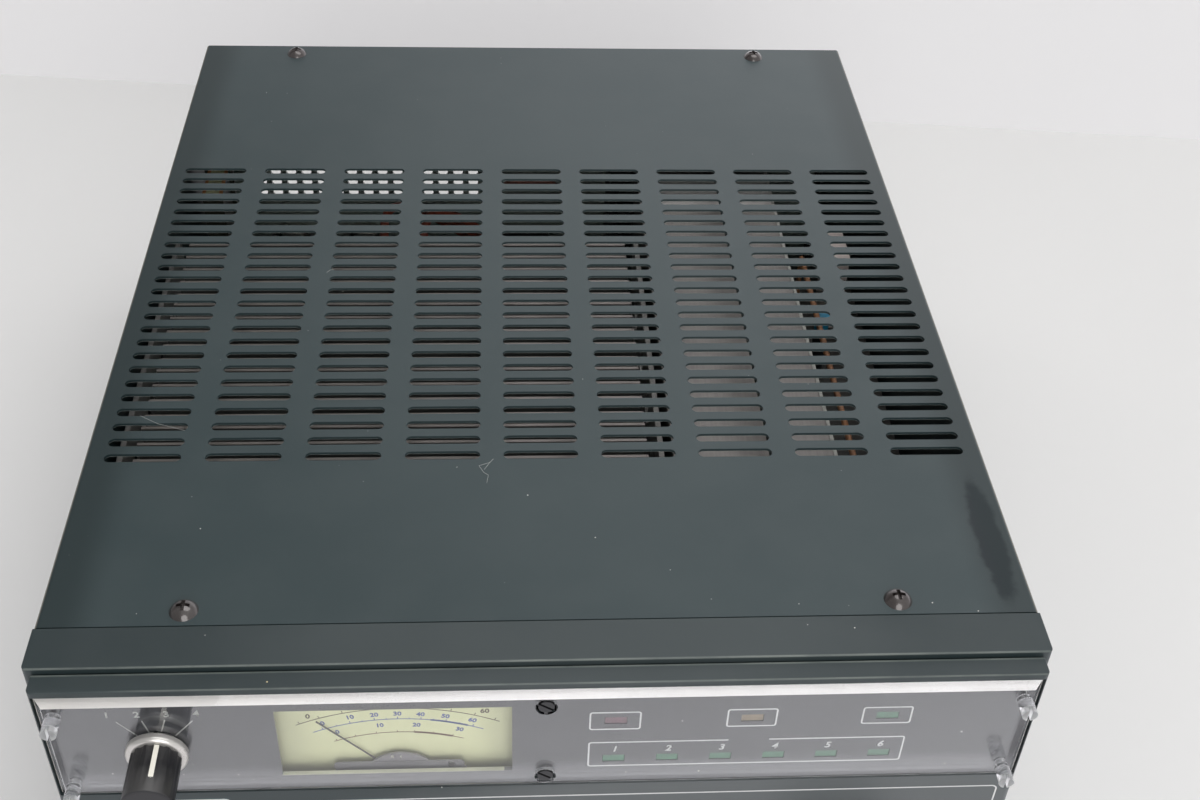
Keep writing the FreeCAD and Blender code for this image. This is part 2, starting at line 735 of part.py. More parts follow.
def meter_dial():
    w = METER_WALL
    y0 = Y_PRINT + METER_RECESS
    plate = box(METER_X0 + w, METER_X1 - w, y0, y0 + DIAL_T, METER_Z0 + w, METER_Z1 - w)
    return plate.cut(rod_y(2.4, y0 - 1, y0 + 2, PIVOT_X, z_down(PIVOT_DROP - 0.6)))


PIVOT_Z = Z_TOP - PIVOT_DROP + 0.6
Y_DIAL = Y_PRINT + METER_RECESS
Y_NEEDLE = Y_DIAL - DIAL_GAP
Y_COIL = Y_DIAL + 4.0


def meter_needle():
    hub = rod_y(1.6, Y_NEEDLE - 0.3, Y_NEEDLE + 0.4, PIVOT_X, PIVOT_Z)
    y0 = Y_NEEDLE - 0.15
    arm = box(PIVOT_X - 0.13, PIVOT_X + 0.13, y0, y0 + 0.3, PIVOT_Z, PIVOT_Z + NEEDLE_LEN)
    arm.rotate(vec(PIVOT_X, 0, PIVOT_Z), vec(0, 1, 0), -NEEDLE_REST)
    shaft = rod_y(0.5, Y_NEEDLE - 0.3, Y_DIAL + 4.5, PIVOT_X, PIVOT_Z)
    y1 = Y_COIL + COIL_DEEP
    coil = box(PIVOT_X - COIL_HALF, PIVOT_X + COIL_HALF, Y_COIL, y1, PIVOT_Z - 1.0, PIVOT_Z + 1.0)
    inside = COIL_HALF - COIL_WALL
    x0 = PIVOT_X - inside
    x1 = PIVOT_X + inside
    coil = coil.cut(box(x0, x1, Y_COIL + COIL_WALL, y1 + 1, PIVOT_Z - 2, PIVOT_Z + 2))
    return joined([hub, arm, shaft, coil])


def meter_pivot_cover():
    y0 = Y_DIAL - 1.9
    z1 = z_down(BAR_DROP)
    dome = rod_y(DOME_R, y0, y0 + 0.5, PIVOT_X, z_down(DOME_DROP))
    dome = dome.cut(box(PIVOT_X - BAR_HALF, PIVOT_X + BAR_HALF, y0 - 1, y0 + 2, METER_Z0 - DOME_R, z1))
    bar = box(PIVOT_X - BAR_HALF, PIVOT_X + BAR_HALF, y0, y0 + 0.5, z_down(PIVOT_DROP + 2.0), z1)
    at = BAR_HALF - 2.0
    places = (PIVOT_X - at, PIVOT_X + at)
    legs = [box(x - 1, x + 1, y0 + 0.5, Y_DIAL, z1 - 4.3, z1 - 1.7) for x in places]
    return joined([dome, bar] + legs)


def meter_movement():
    """Ring magnet and core round the moving coil, held by a yoke on the back of the case."""
    y0 = Y_DIAL + 3.0
    y1 = METER_Y1 - METER_WALL
    z0 = METER_Z0 + METER_WALL
    magnet = rod_y(MAGNET_R, y0, y0 + MAGNET_T, PIVOT_X, PIVOT_Z)
    magnet = magnet.cut(rod_y(MAGNET_BORE, y0 - 1, y0 + MAGNET_T + 1, PIVOT_X, PIVOT_Z))
    core = rod_y(CORE_R, Y_COIL + COIL_WALL + 1.2, y1, PIVOT_X, PIVOT_Z)
    yoke = box(PIVOT_X - MAGNET_R, PIVOT_X + MAGNET_R, y0 + MAGNET_T, y1, z0, PIVOT_Z + 9)
    room = box(METER_X0, METER_X1, y0 - 1, y1, z0, METER_Z1)
    return joined([magnet.common(room), yoke, core])


# ---------------------------------------------------------------- knobs and switches
def rotary_switch(x, z, r):
    body = rod_y(r, Y_FRAME_BACK, Y_FRAME_BACK + SWITCH_DEEP, x, z)
    bush = rod_y(BUSH_R, Y_FRAME - 5, Y_FRAME_BACK, x, z)
    nut = rod_y(BUSH_R + 2.2, Y_FRAME - 2.2, Y_FRAME, x, z)
    bore = rod_y(SHAFT_R + RUN_GAP, Y_FRAME - 6, Y_FRAME_BACK + SWITCH_DEEP - 2, x, z)
    tags = []
    for i in range(6):
        a = math.radians(60 * i)
        tx = x + (r - 1.6) * math.cos(a)
        tz = z + (r - 1.6) * math.sin(a)
        tags.append(rod_y(0.8, Y_FRAME_BACK + SWITCH_DEEP, Y_FRAME_BACK + SWITCH_DEEP + 4, tx, tz))
    return joined([body, bush, nut] + tags).cut(bore)


def shaft(x, z, y_front):
    return rod_y(SHAFT_R, y_front, Y_FRAME_BACK + SWITCH_DEEP - 2.5, x, z)


KNOB_BACK = Y_FACE - MOVE_GAP
KNOB_Y0 = KNOB_BACK - RING_T - KNOB_LEN
BAND_BACK = Y_RIM - MOVE_GAP
BAND_Y0 = BAND_BACK - BAND_LEN


def fluted(x, z, r, y0, y1, count):
    """Round grip with shallow flutes along it."""
    grip = rod_y(r, y0, y1, x, z)
    rim = [e for e in grip.Edges if abs(e.CenterOfMass.y - y0) < EDGE]
    grip = grip.makeFillet(0.6, rim)
    cuts = []
    for i in range(count):
        a = 2 * math.pi * (i + 0.5) / count
        pitch = 2 * math.pi * r / count
        cuts.append(rod_y(pitch * 0.3, y0 - 1, y1 + 1, x + r * math.cos(a), z + r * math.sin(a)))
    return grip.cut(group(cuts))


def pointer_cut(x, z, r, y0, y1, turn=0):
    """Groove of the pointer line, turned about the knob's axis."""
    line = box(x - 0.75, x + 0.75, y0, y1, z + r - 1.1, z + r + 1)
    line.rotate(vec(x, 0, z), vec(0, 1, 0), turn)
    return line


def meter_knob():
    grip = fluted(KNOB_X, Z_KNOB, KNOB_R, KNOB_Y0, KNOB_BACK - RING_T, KNOB_FLUTES)
    y1 = KNOB_BACK - RING_T - 0.3
    grip = grip.cut(pointer_cut(KNOB_X, Z_KNOB, KNOB_R, KNOB_Y0 + 3.5, y1, KNOB_REST))
    return grip.cut(rod_y(SHAFT_R, KNOB_Y0 + 3, KNOB_BACK + 1, KNOB_X, Z_KNOB))


def meter_knob_pointer():
    line = pointer_cut(KNOB_X, Z_KNOB, KNOB_R, KNOB_Y0 + 3.5, KNOB_BACK - RING_T - 0.3, KNOB_REST)
    return line.common(rod_y(KNOB_R + 0.1, KNOB_Y0, KNOB_BACK, KNOB_X, Z_KNOB))


def meter_knob_ring():
    ring = rod_y(RING_R, KNOB_BACK - RING_T, KNOB_BACK, KNOB_X, Z_KNOB)
    rim = [e for e in ring.Edges if abs(e.CenterOfMass.y - KNOB_BACK + RING_T) < EDGE]
    ring = ring.makeChamfer(0.7, rim)
    return ring.cut(rod_y(SHAFT_R, KNOB_BACK - RING_T - 1, KNOB_BACK + 1, KNOB_X, Z_KNOB))


def band_knob():
    skirt = rod_y(BAND_R, BAND_BACK - 3.0, BAND_BACK, BAND_X, Z_BAND)
    grip = fluted(BAND_X, Z_BAND, BAND_R - 3.0, BAND_Y0, BAND_BACK - 2.9, 36)
    knob = grip.fuse(skirt).cut(rod_y(SHAFT_R, BAND_Y0 + 3, BAND_BACK + 1, BAND_X, Z_BAND))
    return knob.cut(pointer_cut(BAND_X, Z_BAND, BAND_R - 3.0, BAND_Y0 + 1.5, BAND_BACK - 4.5))


def band_knob_pointer():
    line = pointer_cut(BAND_X, Z_BAND, BAND_R - 3.0, BAND_Y0 + 1.5, BAND_BACK - 4.5)
    return line.common(rod_y(BAND_R - 2.9, BAND_Y0, BAND_BACK, BAND_X, Z_BAND))


def power_switch():
    w = POWER_W / 2 + 1.5
    h = POWER_H / 2 + 1.5
    flange = box(POWER_X - w - 1, POWER_X + w + 1, Y_RIM - 1.2, Y_RIM, Z_POWER - h - 1, Z_POWER + h + 1)
    a = w - 0.2
    b = h - 0.2
    body = box(POWER_X - a, POWER_X + a, Y_RIM, Y_RIM + POWER_DEEP, Z_POWER - b, Z_POWER + b)
    a = POWER_W / 2 + MOVE_GAP
    b = POWER_H / 2 + MOVE_GAP
    hollow = box(POWER_X - a, POWER_X + a, Y_RIM - 2, Y_RIM + 13, Z_POWER - b, Z_POWER + b)
    pin_seat = rod_x(1.5 + RUN_GAP, POWER_X - a - 0.8, POWER_X + a + 0.8, Y_RIM + 4, Z_POWER)
    y1 = Y_RIM + POWER_DEEP
    tags = []
    for x in (POWER_X - 5, POWER_X + 5):
        for z in (Z_POWER - 7, Z_POWER + 7):
            tags.append(box(x - 0.4, x + 0.4, y1, y1 + 8, z - 2.4, z + 2.4))
    return joined([flange, body] + tags).cut(group([hollow, pin_seat]))


ROCKER_TILT = 11.0


def power_rocker():
    w = POWER_W / 2
    h = POWER_H / 2 - 0.6
    y0 = Y_RIM - 1.0
    y1 = Y_RIM + 8
    points = [(y1, -h + 4), (y0, -h + 0.9), (Y_RIM + 0.8, 0), (y0, h - 0.9), (y1, h - 4)]
    ring = [vec(POWER_X - w, y, Z_POWER + z) for y, z in points]
    face = Part.Face(Part.makePolygon(ring + [ring[0]]))
    rocker = face.extrude(vec(POWER_W, 0, 0))
    pin = rod_x(1.5, POWER_X - w - 0.8, POWER_X + w + 0.8, Y_RIM + 4, Z_POWER)
    rocker = joined([rocker, pin])
    rocker.rotate(vec(POWER_X, Y_RIM + 4, Z_POWER), vec(1, 0, 0), ROCKER_TILT)
    return rocker


def button_housing():
    x0 = BUTTONS[0] - BUTTON_SIZE / 2 - 3
    x1 = BUTTONS[-1] + BUTTON_SIZE / 2 + 3
    h = BUTTON_SIZE / 2 + 3
    block = box(x0, x1, Y_RIM + FACE_T, Y_FRAME, Z_BUTTON - h, Z_BUTTON + h)
    b = BUTTON_SIZE / 2 + MOVE_GAP
    cuts = [box(x - b, x + b, Y_RIM, Y_FRAME - 2, Z_BUTTON - b, Z_BUTTON + b) for x in BUTTONS]
    return block.cut(group(cuts))


def button(x):
    b = BUTTON_SIZE / 2
    cap = box(x - b, x + b, Y_RIM - BUTTON_PROUD, Y_FRAME - 2 - 4.5, Z_BUTTON - b, Z_BUTTON + b)
    front = [e for e in cap.Edges if abs(e.CenterOfMass.y - Y_RIM + BUTTON_PROUD) < EDGE]
    return cap.makeFillet(0.8, front)


# ---------------------------------------------------------------- heat sink and power board
def heat_sink():
    base = box(SINK_LEFT, SINK_RIGHT, SINK_Y0, SINK_Y1, Z_SINK_LOW, Z_SINK_BASE)
    fins = [box(SINK_LEFT, SINK_RIGHT, y, y + FIN_T, Z_SINK_BASE, Z_SINK) for y in FIN_Y]
    return joined([base] + fins)


def sink_bracket(x_wall, s):
    """Upright sheet from the tray to the fin tops, with a ledge under the heat sink."""
    x0, x1 = sorted((x_wall, x_wall + s * BRACKET_T))
    y0 = SINK_Y0 - 2
    y1 = SINK_Y1 + 2
    wall = box(x0, x1, y0, y1, Z_FLOOR, Z_SINK)
    a, b = sorted((x_wall, x_wall - s * FOOT_IN))
    ledge = box(a, b, y0, y1, Z_SINK_LOW - BRACKET_T, Z_SINK_LOW)
    foot = box(a, b, y0, y1, Z_FLOOR, Z_FLOOR + BRACKET_T)
    cuts = [rod_x(SCREW_R + 1, x0 - 1, x1 + 1, y, SIDE_Z) for y in SIDE_Y]
    for i in range(4):
        y = SINK_Y0 + 14 + i * 23
        cuts.append(rod_x(7.0, x0 - 1, x1 + 1, y, Z_FLOOR + 26))
        cuts.append(rod_x(5.0, x0 - 1, x1 + 1, y, Z_SINK - 14))
    return joined([wall, ledge, foot]).cut(group(cuts))


def pa_board():
    board = box(PA_X0, PA_X1, PA_Y0, PA_Y1, PA_BOARD_Z - BOARD_T, PA_BOARD_Z)
    cuts = [box(x - DIE_L / 2 - 1, x + DIE_L / 2 + 1, y - DIE_W / 2 - 1, y + DIE_W / 2 + 1,
                PA_BOARD_Z - 5, PA_BOARD_Z + 1) for x, y in DIES]
    pads = [rod_z(STAND_R, PA_BOARD_Z, Z_SINK_LOW, x, y) for x, y in PA_STANDS]
    return joined([board] + pads).cut(group(cuts))


def pa_transistors():
    dies = []
    for x, y in DIES:
        a = DIE_L / 2
        b = DIE_W / 2
        flange = box(x - a, x + a, y - b, y + b, Z_SINK_LOW - 2, Z_SINK_LOW)
        cap = box(x - 6, x + 6, y - 4.5, y + 4.5, Z_SINK_LOW - 6.5, Z_SINK_LOW - 2)
        dies.append(joined([flange, cap]))
    return group(dies)


def pa_transformers():
    cores = []
    top = PA_BOARD_Z - BOARD_T
    for x in (PA_X0 + 30, PA_X1 - 30):
        for y, w in (((PA_Y0 + PA_Y1) / 2 - 12, 22.0), ((PA_Y0 + PA_Y1) / 2 + 14, 14.0)):
            core = box(x - w / 2, x + w / 2, y - 10, y + 10, top - w * 0.6, top)
            z = top - w * 0.3
            places = (x - w / 4, x + w / 4)
            holes = [rod_y(w * 0.13, y - 15, y + 15, place, z) for place in places]
            cores.append(core.cut(group(holes)))
    return group(cores)


# ---------------------------------------------------------------- filter side
def shield_box():
    w = BOX_WALL
    shells = []
    for x0, x1 in ((BOX_LEFT, LID_A1 + 0.4), (LID_B0 - 0.4, BOX_RIGHT)):
        outer = box(x0, x1, BOX_Y0, BOX_Y1, Z_BOX_FLOOR, Z_BOX)
        inner = box(x0 + w, x1 - w, BOX_Y0 + w, BOX_Y1 - w, Z_BOX_FLOOR + w, Z_BOX + 1)
        shells.append(outer.cut(inner))
    floor = box(BOX_LEFT, BOX_RIGHT, BOX_Y0, BOX_Y1, Z_BOX_FLOOR - w, Z_BOX_FLOOR)
    legs = []
    for x0 in (BOX_LEFT, BOX_RIGHT - w):
        legs.append(box(x0, x0 + w, BOX_Y0 + 8, BOX_Y1 - 8, Z_FLOOR, Z_BOX_FLOOR))
    feet_ = [box(BOX_LEFT, BOX_LEFT + 9, BOX_Y0 + 8, BOX_Y1 - 8, Z_FLOOR, Z_FLOOR + w)]
    feet_.append(box(BOX_RIGHT - 9, BOX_RIGHT, BOX_Y0 + 8, BOX_Y1 - 8, Z_FLOOR, Z_FLOOR + w))
    return joined(shells + [floor] + legs + feet_ + [output_shelf()])


def lid(x0, x1, y0, y1):
    """Flat lid with a short lip that drops inside the walls."""
    plate = box(x0, x1, y0, y1, Z_BOX, Z_BOX + 0.8)
    gap = BOX_WALL + 0.2
    rim = box(x0 + gap, x1 - gap, y0 + gap, y1 - gap, Z_BOX - 4, Z_BOX)
    rim = rim.cut(box(x0 + gap + 0.8, x1 - gap - 0.8, y0 + gap + 0.8, y1 - gap - 0.8, Z_BOX - 5, Z_BOX))
    return joined([plate, rim])


def shield_lids():
    wide = lid(BOX_LEFT, LID_A1 + 0.4, BOX_Y0, BOX_Y1)
    narrow = lid(LID_B0 - 0.4, BOX_RIGHT - LID_SHY, BOX_Y0, BOX_Y1)
    return group([wide, narrow])


def filter_board():
    w = BOX_WALL
    x0 = BOX_LEFT + w
    x1 = LID_A1 + 0.4 - w
    z = Z_BOX_FLOOR + w
    board = box(x0, x1, BOX_Y0 + w, BOX_Y1 - w, z, z + BOARD_T)
    parts = [board]
    for i in range(6):
        y = BOX_Y0 + 18 + i * 25
        parts.append(box(x0 + 3, x0 + 13, y - 5, y + 5, z + BOARD_T, z + BOARD_T + 14))
        coil = rod_x(8, x0 + 14.5, x1 - 2.5, y + 1, z + BOARD_T + 8)
        parts.append(coil.cut(rod_x(4, x0, x1, y + 1, z + BOARD_T + 8)))
    return joined(parts)


def output_shelf():
    shelf = box(SHELF_X0, SHELF_X1, BOX_Y0 + 6, BOX_Y1 - 6, Z_SHELF - SHELF_T, Z_SHELF)
    web = box(SHELF_X0, SHELF_X0 + SHELF_T, BOX_Y0 + 6, BOX_Y1 - 6, Z_SHELF - 14, Z_SHELF)
    return joined([shelf, web])


def copper_line():
    """Stiff copper lead above the shelf, bent down to it at both ends."""
    y0 = y_in(LINE_FRONT)
    y1 = y_in(LINE_BACK)
    parts = [rod_y(LINE_R, y0, y1, LINE_X, Z_LINE)]
    for y in (y0, y1):
        parts.append(rod_z(LINE_R, Z_SHELF, Z_LINE, LINE_X, y))
        parts.append(Part.makeSphere(LINE_R, vec(LINE_X, y, Z_LINE)))
    return joined(parts)


def ceramic_block():
    """White power resistor on the shelf."""
    x1 = INNER_X - BLOCK_GAP
    y0 = y_in(BLOCK_FRONT)
    return box(x1 - BLOCK_W, x1, y0, y0 + BLOCK_L, Z_SHELF, Z_SHELF + BLOCK_H)


def blue_capacitor():
    return rod_z(CAP_R, Z_SHELF, Z_SHELF + CAP_H, LINE_X + CAP_GAP, y_in(CAP_FRONT))


def rear_relay():
    """Relay on an upright strap behind the heat sink."""
    x = RELAY_INSET - HALF_W
    y = Y_BACK - RELAY_END
    t = BRACKET_T
    r = RELAY_HALF
    z1 = Z_FLOOR + STRAP_H
    strap = box(x - STRAP_HALF, x + STRAP_HALF, y, y + t, Z_FLOOR, z1)
    foot = box(x - STRAP_HALF, x + STRAP_HALF, y - 10, y + t, Z_FLOOR, Z_FLOOR + t)
    block = box(x - r, x + r, y - RELAY_L, y, z1 - 2 - RELAY_H, z1 - 2)
    return joined([strap, foot, block])


# ---------------------------------------------------------------- control board and wires
def control_board():
    board = box(BOARD_X0, BOARD_X1, BOARD_Y0, BOARD_Y1, BOARD_Z, BOARD_Z + BOARD_T)
    return board


def board_stands():
    return group([rod_z(STAND_R, Z_FLOOR, BOARD_Z, x, y) for x, y in STANDS])


def board_capacitors():
    z = BOARD_Z + BOARD_T
    step = (BOARD_X1 - BOARD_X0 - 2 * CAN_EDGE) / (CAN_COUNT - 1)
    cans = []
    for i in range(CAN_COUNT):
        x = BOARD_X0 + CAN_EDGE + i * step
        cans.append(rod_z(CAN_R, z, z + CAN_H, x, BOARD_Y0 + CAN_R + 7))
        cans.append(rod_z(SMALL_CAN_R, z, z + SMALL_CAN_H, BOARD_X1 - 14, BOARD_Y0 + 40 + i * 16))
    return group(cans)


def board_chips():
    z = BOARD_Z + BOARD_T
    chips = []
    for i in range(5):
        for x in (BOARD_MID - 32, BOARD_MID + 4):
            y = BOARD_Y0 + 52 + i * 24
            a = CHIP_L / 2
            b = CHIP_W / 2
            chips.append(box(x - a, x + a, y - b, y + b, z, z + CHIP_H))
    return group(chips)


def between(a, b, share):
    return a + (b - a) * share


def wires():
    """Supply wires from the DC inlet over the rear of the case and down to the power board."""
    x0, z0 = INLET
    x1 = (PA_X0 + PA_X1) / 2
    y0 = Y_PANEL_BACK - INLET_DEEP - 2
    y1 = PA_Y1
    z1 = PA_BOARD_Z - BOARD_T - WIRE_R - 0.4
    ends = []
    for i in range(3):
        side = 3.2 * WIRE_R * (i - 1)
        points = [(x0 - 6 + side, y0, z0), (x0 - 20 + side, y0 - 4, z0 + 4)]
        points.append((between(x0, x1, 0.47) + side, between(y0, y1, 0.18) - 4 * i, z0 + 18))
        points.append((between(x0, x1, 1.03) + 1.5 * side, between(y0, y1, 0.42) - i, Z_SINK - 21))
        points.append((x1 + side, y1 + 14, z1))
        points.append((x1 + side, y1 - 8, z1))
        ends.append(points)
    return ends


def wire(i):
    return tube_path(wires()[i], WIRE_R)


# ---------------------------------------------------------------- rear
def fan_frame():
    y1 = Y_PANEL_BACK - SHEET
    y0 = y1 - FAN_T
    h = FAN_SIZE / 2
    body = box(FAN_X - h, FAN_X + h, y0, y1, Z_FAN - h, Z_FAN + h)
    body = body.makeFillet(4.0, [e for e in body.Edges if abs(e.Length - FAN_T) < EDGE])
    body = body.cut(rod_y(FAN_BORE_R, y0 - 1, y1 + 1, FAN_X, Z_FAN))
    parts = [body, rod_y(FAN_HUB_R, y0, y0 + 4, FAN_X, Z_FAN)]
    for i in range(4):
        arm = box(FAN_X + FAN_HUB_R - 2, FAN_X + FAN_BORE_R + 1, y0, y0 + 3, Z_FAN - 2, Z_FAN + 2)
        arm.rotate(vec(FAN_X, 0, Z_FAN), vec(0, 1, 0), 45 + 90 * i)
        parts.append(arm)
    parts.append(rod_y(2.0, y0, y0 + FAN_T - 9, FAN_X, Z_FAN))
    body = joined(parts)
    cuts = [rod_y(FAN_SCREW_R, y0 - 1, y1 + 1, x, z) for x, z in FAN_SCREWS]
    return body.cut(group(cuts))


def fan_rotor():
    y0 = Y_PANEL_BACK - SHEET - FAN_T + 4.0 + MOVE_GAP
    y1 = Y_PANEL_BACK - SHEET - 1.5
    hub = rod_y(FAN_HUB_R, y0, y1, FAN_X, Z_FAN)
    hub = hub.cut(rod_y(2.0 + RUN_GAP, y0 - 1, y0 + FAN_T - 12, FAN_X, Z_FAN))
    r = FAN_BORE_R - 1.0
    blades = []
    for i in range(FAN_BLADES):
        foot = vec(FAN_X + FAN_HUB_R - 2, y0 + 1.5, Z_FAN - 0.8)
        blade = Part.makeBox(r - FAN_HUB_R + 2, y1 - y0 - 3, 1.6, foot)
        blade.rotate(vec(FAN_X, (y0 + y1) / 2, Z_FAN), vec(1, 0, 0), 38)
        blade.rotate(vec(FAN_X, 0, Z_FAN), vec(0, 1, 0), 360.0 * i / FAN_BLADES)
        blades.append(blade)
    limit = rod_y(r, y0, y1, FAN_X, Z_FAN)
    return joined([hub] + [b.common(limit) for b in blades])


def fan_screws():
    screws = []
    for x, z in FAN_SCREWS:
        head = rod_y(3.2, Y_PANEL_BACK, Y_PANEL_BACK + 1.9, x, z)
        slot = box(x - 2.4, x + 2.4, Y_PANEL_BACK + 1.0, Y_PANEL_BACK + 3, z - 0.4, z + 0.4)
        shank = rod_y(FAN_SCREW_R - 0.05, Y_PANEL_BACK - 8, Y_PANEL_BACK, x, z)
        screws.append(head.cut(slot).fuse(shank))
    return group(screws)


def coax_sockets():
    shells = []
    for x, z in JACKS:
        shell = rod_y(JACK_R, Y_PANEL_BACK - 6, Y_PANEL_BACK + JACK_LEN, x, z)
        flange = rod_y(JACK_R + JACK_RIM, Y_PANEL_BACK, Y_PANEL_BACK + 2.0, x, z)
        nut = rod_y(JACK_R + JACK_NUT, Y_PANEL_BACK - SHEET - 3, Y_PANEL_BACK - SHEET, x, z)
        bore = rod_y(JACK_R - JACK_WALL, Y_PANEL_BACK - 7, Y_PANEL_BACK + JACK_LEN + 1, x, z)
        shells.append(joined([shell, flange, nut]).cut(bore))
    return group(shells)


def coax_insulators():
    plugs = []
    for x, z in JACKS:
        plug = rod_y(JACK_R - JACK_WALL, Y_PANEL_BACK - 6, Y_PANEL_BACK + JACK_LEN - 4, x, z)
        bore = rod_y(JACK_PIN_R + PIN_WALL, Y_PANEL_BACK - 7, Y_PANEL_BACK + JACK_LEN, x, z)
        plugs.append(plug.cut(bore))
    return group(plugs)


def coax_contacts():
    pins = []
    for x, z in JACKS:
        pin = rod_y(JACK_PIN_R + PIN_WALL, Y_PANEL_BACK - 10, Y_PANEL_BACK + JACK_LEN - 3, x, z)
        pins.append(pin.cut(rod_y(JACK_PIN_R, Y_PANEL_BACK - 2, Y_PANEL_BACK + JACK_LEN, x, z)))
    return group(pins)


def plug_shell(x, z, w, h, out):
    """Rectangular socket that stands out of the rear panel."""
    y0 = Y_PANEL_BACK - INLET_DEEP
    y1 = Y_PANEL_BACK + out
    shell = box(x - w / 2, x + w / 2, y0, y1, z - h / 2, z + h / 2)
    a = w / 2 + 2
    b = h / 2 + 1.5
    flange = box(x - a, x + a, Y_PANEL_BACK, Y_PANEL_BACK + 1.5, z - b, z + b)
    t = PLUG_WALL
    mouth = box(x - w / 2 + t, x + w / 2 - t, y1 - MOUTH_DEEP, y1 + 1, z - h / 2 + t, z + h / 2 - t)
    return joined([shell, flange]).cut(mouth)


def plug_pins(x, z, w, out, count, r):
    y0 = Y_PANEL_BACK + out - MOUTH_DEEP
    step = (w - 8.0) / (count - 1)
    return group([rod_y(r, y0, y0 + 5.0, x - (w - 8.0) / 2 + i * step, z) for i in range(count)])


def earth_stud():
    x, z = EARTH
    stud = rod_y(EARTH_R, Y_PANEL_BACK - 6, Y_PANEL_BACK + EARTH_LEN, x, z)
    collar = rod_y(EARTH_COLLAR_R, Y_PANEL_BACK, Y_PANEL_BACK + EARTH_COLLAR_T, x, z)
    nut = rod_y(4.6, Y_PANEL_BACK - SHEET - 3, Y_PANEL_BACK - SHEET, x, z)
    return joined([stud, collar, nut])


EARTH_NUT_Y = Y_PANEL_BACK + EARTH_COLLAR_T + MOVE_GAP


def earth_nut():
    x, z = EARTH
    y1 = EARTH_NUT_Y + WING_H
    t = WING_T / 2
    nut = rod_y(EARTH_COLLAR_R + 0.2, EARTH_NUT_Y, y1 - 3, x, z)
    wings = box(x - WING_HALF, x + WING_HALF, EARTH_NUT_Y + 1, y1, z - t, z + t)
    nut = joined([nut, wings])
    nut = nut.cut(box(x - 4.0, x + 4.0, y1 - 3, y1 + 1, z - 3, z + 3))
    return nut.cut(rod_y(EARTH_R + RUN_GAP, EARTH_NUT_Y - 1, EARTH_NUT_Y + 10, x, z))


# ---------------------------------------------------------------- write every node
def main():
    os.makedirs("parts", exist_ok=True)
    save("top_cover", top_cover())
    save("case_screws", case_screws())
    save("base_tray", base_tray())
    save("front_frame", front_frame())
    save("rear_panel", rear_panel())
    save("feet", feet())
    save("foot_screws", foot_screws())

    save("front_bezel", front_bezel())
    save("window", window())
    save("printed_panel", printed_panel())
    save("window_posts", window_posts())
    save("window_screws", window_screws())
    places = lamp_places()
    save("lamp_red", lamps(places[0:1]))
    save("lamp_amber", lamps(places[1:2]))
    save("lamps_green", lamps(places[2:]))
    save("lamp_board", lamp_board())

    save("meter_case", meter_case())
    save("meter_dial", meter_dial())
    save("meter_needle", meter_needle())
    save("meter_pivot_cover", meter_pivot_cover())
    save("meter_movement", meter_movement())

    save("meter_switch", rotary_switch(KNOB_X, Z_KNOB, SWITCH_R))
    save("meter_shaft", shaft(KNOB_X, Z_KNOB, KNOB_Y0 + 3))
    save("meter_knob", meter_knob())
    save("meter_knob_ring", meter_knob_ring())
    save("meter_knob_pointer", meter_knob_pointer())
    save("band_switch", rotary_switch(BAND_X, Z_BAND, BAND_SWITCH_R))
    save("band_shaft", shaft(BAND_X, Z_BAND, BAND_Y0 + 3))
    save("band_knob", band_knob())
    save("band_knob_pointer", band_knob_pointer())
    save("power_switch", power_switch())
    save("power_rocker", power_rocker())
    save("button_housing", button_housing())
    save("mode_button", button(BUTTONS[0]))
    save("reset_button", button(BUTTONS[1]))

    save("heat_sink", heat_sink())
    save("sink_brackets", group([sink_bracket(BRACKET_L, -1), sink_bracket(BRACKET_R, 1)]))
    save("pa_board", pa_board())
    save("pa_transistors", pa_transistors())
    save("pa_transformers", pa_transformers())

    save("shield_box", shield_box())
    save("shield_lids", shield_lids())
    save("filter_board", filter_board())
    save("copper_line", copper_line())
    save("ceramic_block", ceramic_block())
    save("blue_capacitor", blue_capacitor())
    save("rear_relay", rear_relay())

    save("control_board", control_board().fuse(board_stands()))
    save("board_parts", group([board_capacitors(), board_chips()]))
    save("supply_wires", group([wire(i) for i in range(3)]))

    save("fan_frame", fan_frame())
    save("fan_rotor", fan_rotor())
    save("fan_screws", fan_screws())
    save("coax_sockets", coax_sockets())
    save("coax_insulators", coax_insulators())
    save("dc_inlet", plug_shell(*INLET, INLET_W, INLET_H, INLET_OUT))
    save("control_socket", plug_shell(*SOCKET, SOCKET_W, SOCKET_H, SOCKET_OUT))
    pins = plug_pins(*INLET, INLET_W, INLET_OUT, 4, 1.5)
    more = plug_pins(*SOCKET, SOCKET_W, SOCKET_OUT, 8, 0.7)
    save("rear_contacts", group([coax_contacts(), pins, more]))
    save("earth_stud", earth_stud())
    save("earth_nut", earth_nut())


main()
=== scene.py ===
# %% [markdown]
# # A desk-top HF linear amplifier
#
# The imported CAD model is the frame: every sheet, board, screw and knob is already in its
# place. This lesson loads it, sets up a camera, a pale studio and soft light, gives every
# part a finish made from shader nodes, and then models the small things that belong to the
# surface: printing, the meter's scale, a turned knob, the window's ground edge, dust and lint.

